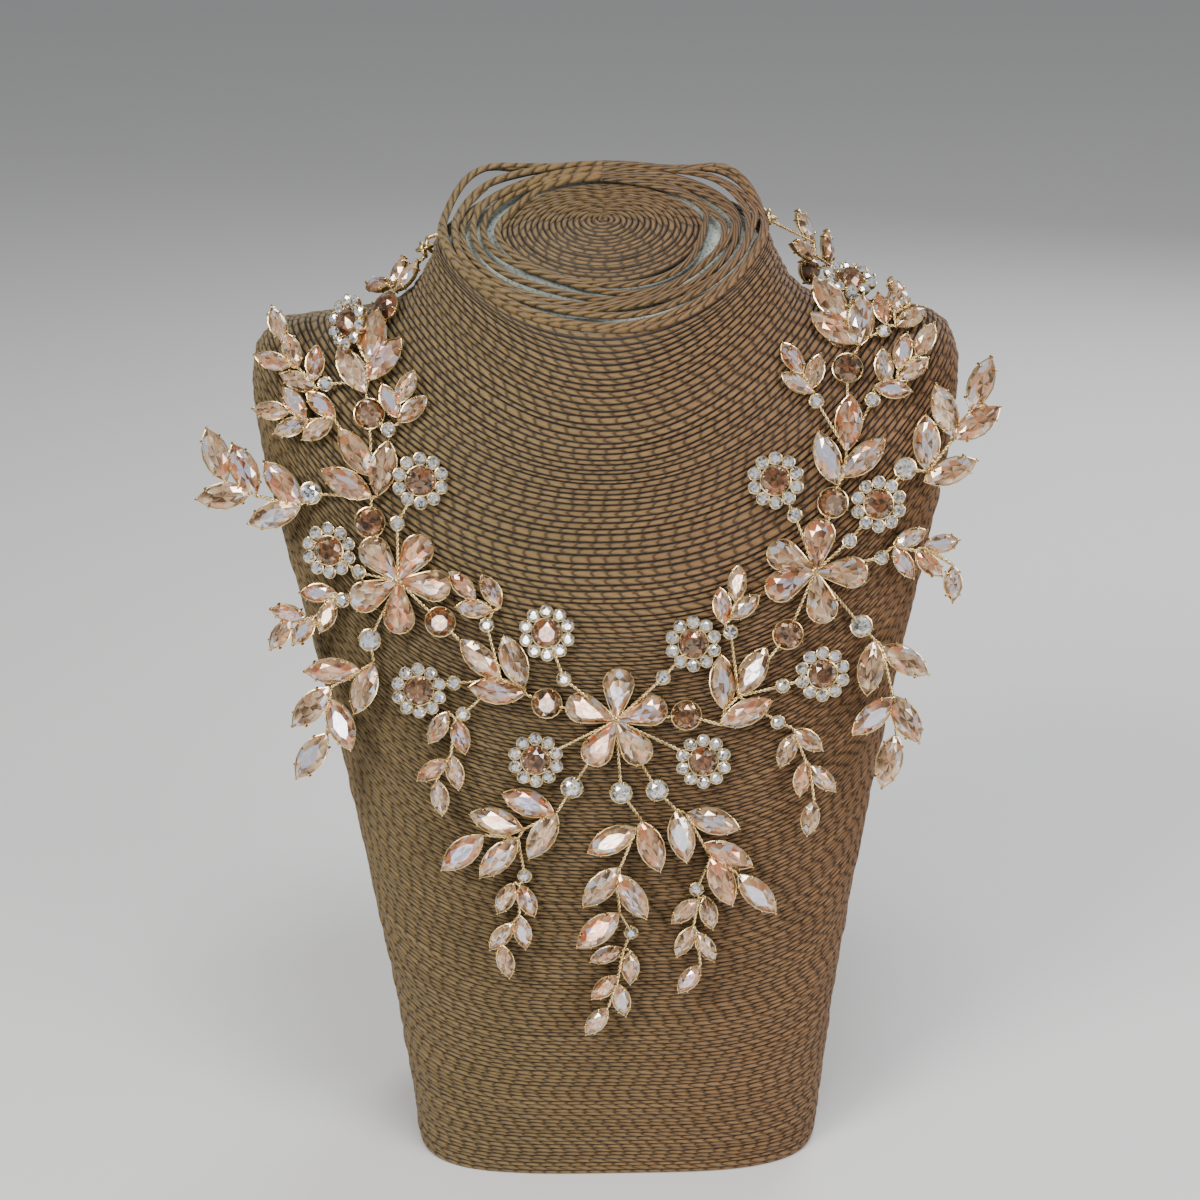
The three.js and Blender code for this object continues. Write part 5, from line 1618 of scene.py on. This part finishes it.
@dataclass
class NeckChain:
    """The chain round the back of the neck, with its clasp and the two rings it hooks into."""

    form: BustForm
    finishes: Finishes
    link_length: float = 9.0 * MM
    link_width: float = 5.4 * MM
    link_wire: float = 1.2 * MM
    link_bite: float = 0.16 * MM
    ring_width: float = 5.0 * MM
    clasp_length: float = 9.0 * MM
    clasp_width: float = 5.0 * MM
    clasp_thickness: float = 3.0 * MM
    clearance: float = 0.3 * MM
    lift: float = 2.5 * MM
    drop: float = 0.7
    ring_motifs: tuple[str, str] = ("trio_left_back", "trio_right_back")
    ring_dots: tuple[tuple[float, float], ...] = ((429.0, 250.0), (773.0, 219.0))
    path: np.ndarray = field(init=False)
    outward: np.ndarray = field(init=False)
    reach: np.ndarray = field(init=False)

    def __post_init__(self) -> None:
        """Lays the chain's line over the back of the neck."""
        turn_step, columns = 0.12, 160
        all_turns = np.arange(turn_step, self.form.last_turn, turn_step)
        all_angles = (np.arange(columns) + 0.5) / columns * FULL_TURN
        turns, angles = np.meshgrid(all_turns, all_angles, indexing="ij")
        points, normals = self.form.surface(turns, angles), self.form.normals(turns, angles)
        sight = np.array(AIM - EYE)
        across = np.array((DOT_AT_AIM, 0.0, 0.0))
        up = np.cross((1.0, 0.0, 0.0), sight / np.linalg.norm(sight)) * DOT_AT_AIM + across * PICTURE_LEAN
        seen = (points - np.array(EYE)) @ np.linalg.inv(np.stack([across, up, sight], axis=1)).T
        dots_across = PICTURE_MIDDLE[0] + seen[..., 0] / seen[..., 2]
        dots_down = PICTURE_MIDDLE[1] - seen[..., 1] / seen[..., 2]
        dots = np.stack([dots_across, dots_down], axis=-1)
        shown = ((points - np.array(EYE)) * normals).sum(-1) < 0
        ends = []
        for dot in self.ring_dots:
            off = np.where(shown, np.linalg.norm(dots - np.array(dot), axis=-1), 1e9)
            ends.append(np.unravel_index(int(off.argmin()), off.shape))
        (left_t, left_a), (right_t, right_a) = [(turns[e], angles[e]) for e in ends]
        right_a = right_a - FULL_TURN if right_a > math.pi else right_a
        part = np.linspace(0, 1, 201)
        line_turns = left_t + (right_t - left_t) * part - self.drop * np.sin(math.pi * part)
        line_angles = left_a + (right_a - left_a) * part
        self.outward = self.form.normals(line_turns, line_angles)
        self.path = self.form.surface(line_turns, line_angles) + self.outward * self.lift
        steps = np.linalg.norm(np.diff(self.path, axis=0), axis=1)
        self.reach = np.concatenate([[0.0], np.cumsum(steps)])

    @property
    def length(self) -> float:
        """The length of the chain's line."""
        return float(self.reach[-1])

    def place(self, distance: float, roll: float) -> Matrix:
        """Gives the frame at a distance along the chain.

        Args:
            distance: The distance from the left end ring.
            roll: The turn about the chain's line.

        Returns:
            The matrix, with X along the chain and Z off the bust before the turn.
        """
        def read(values: np.ndarray, where: float) -> Vector:
            """Reads a line of values at a distance."""
            return Vector([float(np.interp(where, self.reach, values[:, k])) for k in range(3)])

        ahead, behind = read(self.path, distance + 0.5 * MM), read(self.path, distance - 0.5 * MM)
        tangent = (ahead - behind).normalized()
        off = read(self.outward, distance)
        off = (off - tangent * off.dot(tangent)).normalized()
        middle = Matrix.Translation(read(self.path, distance))
        return middle @ standing(tangent, off) @ Matrix.Rotation(roll, 4, "X")

    def torus(self, width: float, length: float) -> bpy.types.Object:
        """Bends one link or ring of round wire.

        Args:
            width: Its width outside.
            length: Its length outside, along X.

        Returns:
            The link round the origin.
        """
        deselect_all()
        bend_radius = (width - self.link_wire) / 2
        bpy.ops.mesh.primitive_torus_add(
            major_segments=28, minor_segments=10, major_radius=bend_radius, minor_radius=self.link_wire / 2
        )
        link = bpy.context.object
        with editing():
            for side in (-1, 1):
                bpy.ops.mesh.select_all(action="DESELECT")
                mesh = bmesh.from_edit_mesh(link.data)
                for corner in mesh.verts:
                    corner.select_set(side * corner.co.x > 1e-7)
                mesh.select_flush(True)
                bmesh.update_edit_mesh(link.data)
                bpy.ops.transform.translate(value=(side * (length - width) / 2, 0, 0))
        bpy.ops.object.shade_smooth()
        link.data.materials.append(self.finishes.chain)
        return link

    def end_ring(self, name: str, anchors: list[Vector]) -> tuple[bpy.types.Object, tuple[Vector, Vector]]:
        """Makes the ring of one back trio and the wire that holds it.

        Args:
            name: The trio.
            anchors: The places on the trio where a wire can start.

        Returns:
            The ring, and the start and end of its wire.
        """
        distance = 0.0 if name == self.ring_motifs[0] else self.length
        frame = self.place(distance, -math.pi / 4)
        ring = self.torus(self.ring_width, self.ring_width)
        ring.data.transform(frame)
        start = min(anchors, key=lambda a: (a - frame.translation).length)
        flat = frame.inverted() @ start
        flat.z = 0
        rim = frame @ (flat.normalized() * (self.ring_width - self.link_wire) / 2)
        return ring, (start, rim)

    def half(self, name: str, from_left: bool) -> bpy.types.Object:
        """Links one half of the chain.

        Args:
            name: The node it stands for.
            from_left: Whether it runs from the left ring.

        Returns:
            The linked half.
        """
        ring_reach = (self.ring_width - self.link_wire) / 2
        half = self.length / 2 - self.clasp_length / 2 - ring_reach
        grip = 2 * self.link_wire - self.link_bite
        room = half - 2 * ring_reach + 3 * self.link_wire + 2 * self.clearance - grip
        count = max(2, round(room / (self.link_length - grip)))
        length = room / count + grip
        first = ring_reach + (length - self.link_wire) / 2 - self.link_wire - self.clearance
        links = []
        for k in range(count):
            distance = first + k * (length - grip)
            link = self.torus(self.link_width, length)
            roll = math.pi / 4 if k % 2 == 0 else -math.pi / 4
            link.data.transform(self.place(distance if from_left else self.length - distance, roll))
            links.append(link)
        return joined("dressed_" + name, links)

    def clasp(self) -> bpy.types.Object:
        """Makes the barrel clasp with its two eyes.

        Returns:
            The clasp.
        """
        deselect_all()
        radius = self.clasp_width / 2
        bpy.ops.mesh.primitive_cylinder_add(vertices=28, radius=radius, depth=self.clasp_length)
        barrel = bpy.context.object
        with editing():
            bpy.ops.transform.rotate(value=math.pi / 2, orient_axis="Y", center_override=(0, 0, 0))
            bpy.ops.transform.resize(value=(1.0, 1.0, self.clasp_thickness / self.clasp_width))
        bevel = barrel.modifiers.new("edge", "BEVEL")
        bevel.width, bevel.segments, bevel.limit_method = 0.5 * MM, 3, "ANGLE"
        activate(barrel)
        bpy.ops.object.modifier_apply(modifier=bevel.name)
        bpy.ops.object.shade_smooth_by_angle(angle=math.radians(35))
        barrel.data.materials.append(self.finishes.chain)
        middle = self.length / 2
        barrel.data.transform(self.place(middle, 0.0))
        ring_reach = (self.ring_width - self.link_wire) / 2
        parts = [barrel]
        for side in (-1, 1):
            eye = self.torus(self.ring_width, self.ring_width)
            eye.data.transform(self.place(middle + side * (self.clasp_length / 2 + ring_reach), math.pi / 4))
            parts.append(eye)
        return joined("dressed_clasp", parts)

    def build(self) -> None:
        """Builds both halves of the chain and the clasp."""
        handed_in(self.half("chain_left", True), "gilt_metal", "chain_left")
        handed_in(self.half("chain_right", False), "gilt_metal", "chain_right")
        handed_in(self.clasp(), "gilt_metal", "clasp")


@dataclass
class Studio:
    """A pale floor, soft lights and the camera."""

    floor_size: float = 40.0
    lit_middle: tuple[float, float, float] = (0.0, -0.02, 0.17)
    sensor_width: float = 36.0

    def floor(self) -> None:
        """Lays the pale floor under the bust."""
        deselect_all()
        bpy.ops.mesh.primitive_plane_add(size=self.floor_size, location=(0, 1.0, 0))
        floor = bpy.context.object
        floor.name = "floor"
        material, desk, shader = new_material("PaleFloor")
        desk.feed(shader, {"Base Color": tone(236, 235, 233), "Roughness": 0.6})
        floor.data.materials.append(material)

    def light(
        self, name: str, place: tuple[float, float, float], size: float, power: float,
        colour: tuple[float, float, float],
    ) -> None:
        """Hangs one square softbox that faces the bust.

        Args:
            name: The light's name.
            place: Where it hangs.
            size: Its width.
            power: Its power in watts.
            colour: Its colour.
        """
        bpy.ops.object.light_add(type="AREA", location=place)
        lamp = bpy.context.object
        lamp.name = name
        lamp.data.energy, lamp.data.size, lamp.data.color = power, size, colour
        towards = Vector(self.lit_middle) - Vector(place)
        lamp.rotation_euler = towards.to_track_quat("-Z", "Y").to_euler()

    def lights(self) -> None:
        """Hangs the softboxes and sets the surrounding light."""
        self.light("key", (-0.75, -0.95, 1.05), 0.5, 16.0, (1.0, 0.97, 0.93))
        self.light("fill", (0.95, -0.85, 0.6), 0.55, 8.0, (1.0, 0.95, 0.9))
        self.light("high", (0.1, -0.5, 1.4), 0.35, 9.0, (0.93, 0.96, 1.0))
        self.light("low", (-0.15, -1.3, 0.25), 0.3, 3.0, (1.0, 0.98, 0.96))
        self.light("rear", (0.5, 0.9, 0.8), 0.6, 6.0, (0.95, 0.97, 1.0))
        world = bpy.data.worlds.new("PaleRoom")
        world.use_nodes = True
        room = {"Color": (0.9, 0.92, 0.95, 1.0), "Strength": 0.3}
        NodeDesk(world.node_tree).feed(world.node_tree.nodes["Background"], room)
        bpy.context.scene.world = world

    def camera(self) -> None:
        """Sets the camera where the eye is, a little turned, with the bust's middle off centre."""
        forward = (AIM - EYE).normalized()
        right = Vector((1, 0, 0))
        up = right.cross(forward)
        turned = up * math.cos(CAMERA_ROLL) + right * math.sin(CAMERA_ROLL)
        aside = forward.cross(turned)
        data = bpy.data.cameras.new("eye")
        data.sensor_width = self.sensor_width
        data.lens = self.sensor_width * (AIM - EYE).length / (DOT_AT_AIM * PICTURE_DOTS)
        data.shift_x = (PICTURE_DOTS / 2 - PICTURE_MIDDLE[0]) / PICTURE_DOTS
        data.clip_start, data.clip_end = 0.01, 50.0
        camera = bpy.data.objects.new("eye", data)
        bpy.context.scene.collection.objects.link(camera)
        facing = Matrix((aside, turned, -forward)).transposed().to_4x4()
        camera.matrix_world = Matrix.Translation(EYE) @ facing
        bpy.context.scene.camera = camera


def main() -> None:
    """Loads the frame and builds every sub-assembly."""
    logging.basicConfig(level=logging.INFO, format="%(name)s: %(message)s", stream=sys.stdout)
    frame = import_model()
    finishes = Finishes()
    form = BustForm()
    studio = Studio()
    studio.camera()
    studio.floor()
    studio.lights()
    CordWinding(form, finishes).build()
    chain = NeckChain(form, finishes)
    necklace = Necklace(frame, finishes)
    necklace.read()
    necklace.build(chain)
    chain.build()


if __name__ == "__main__":
    main()
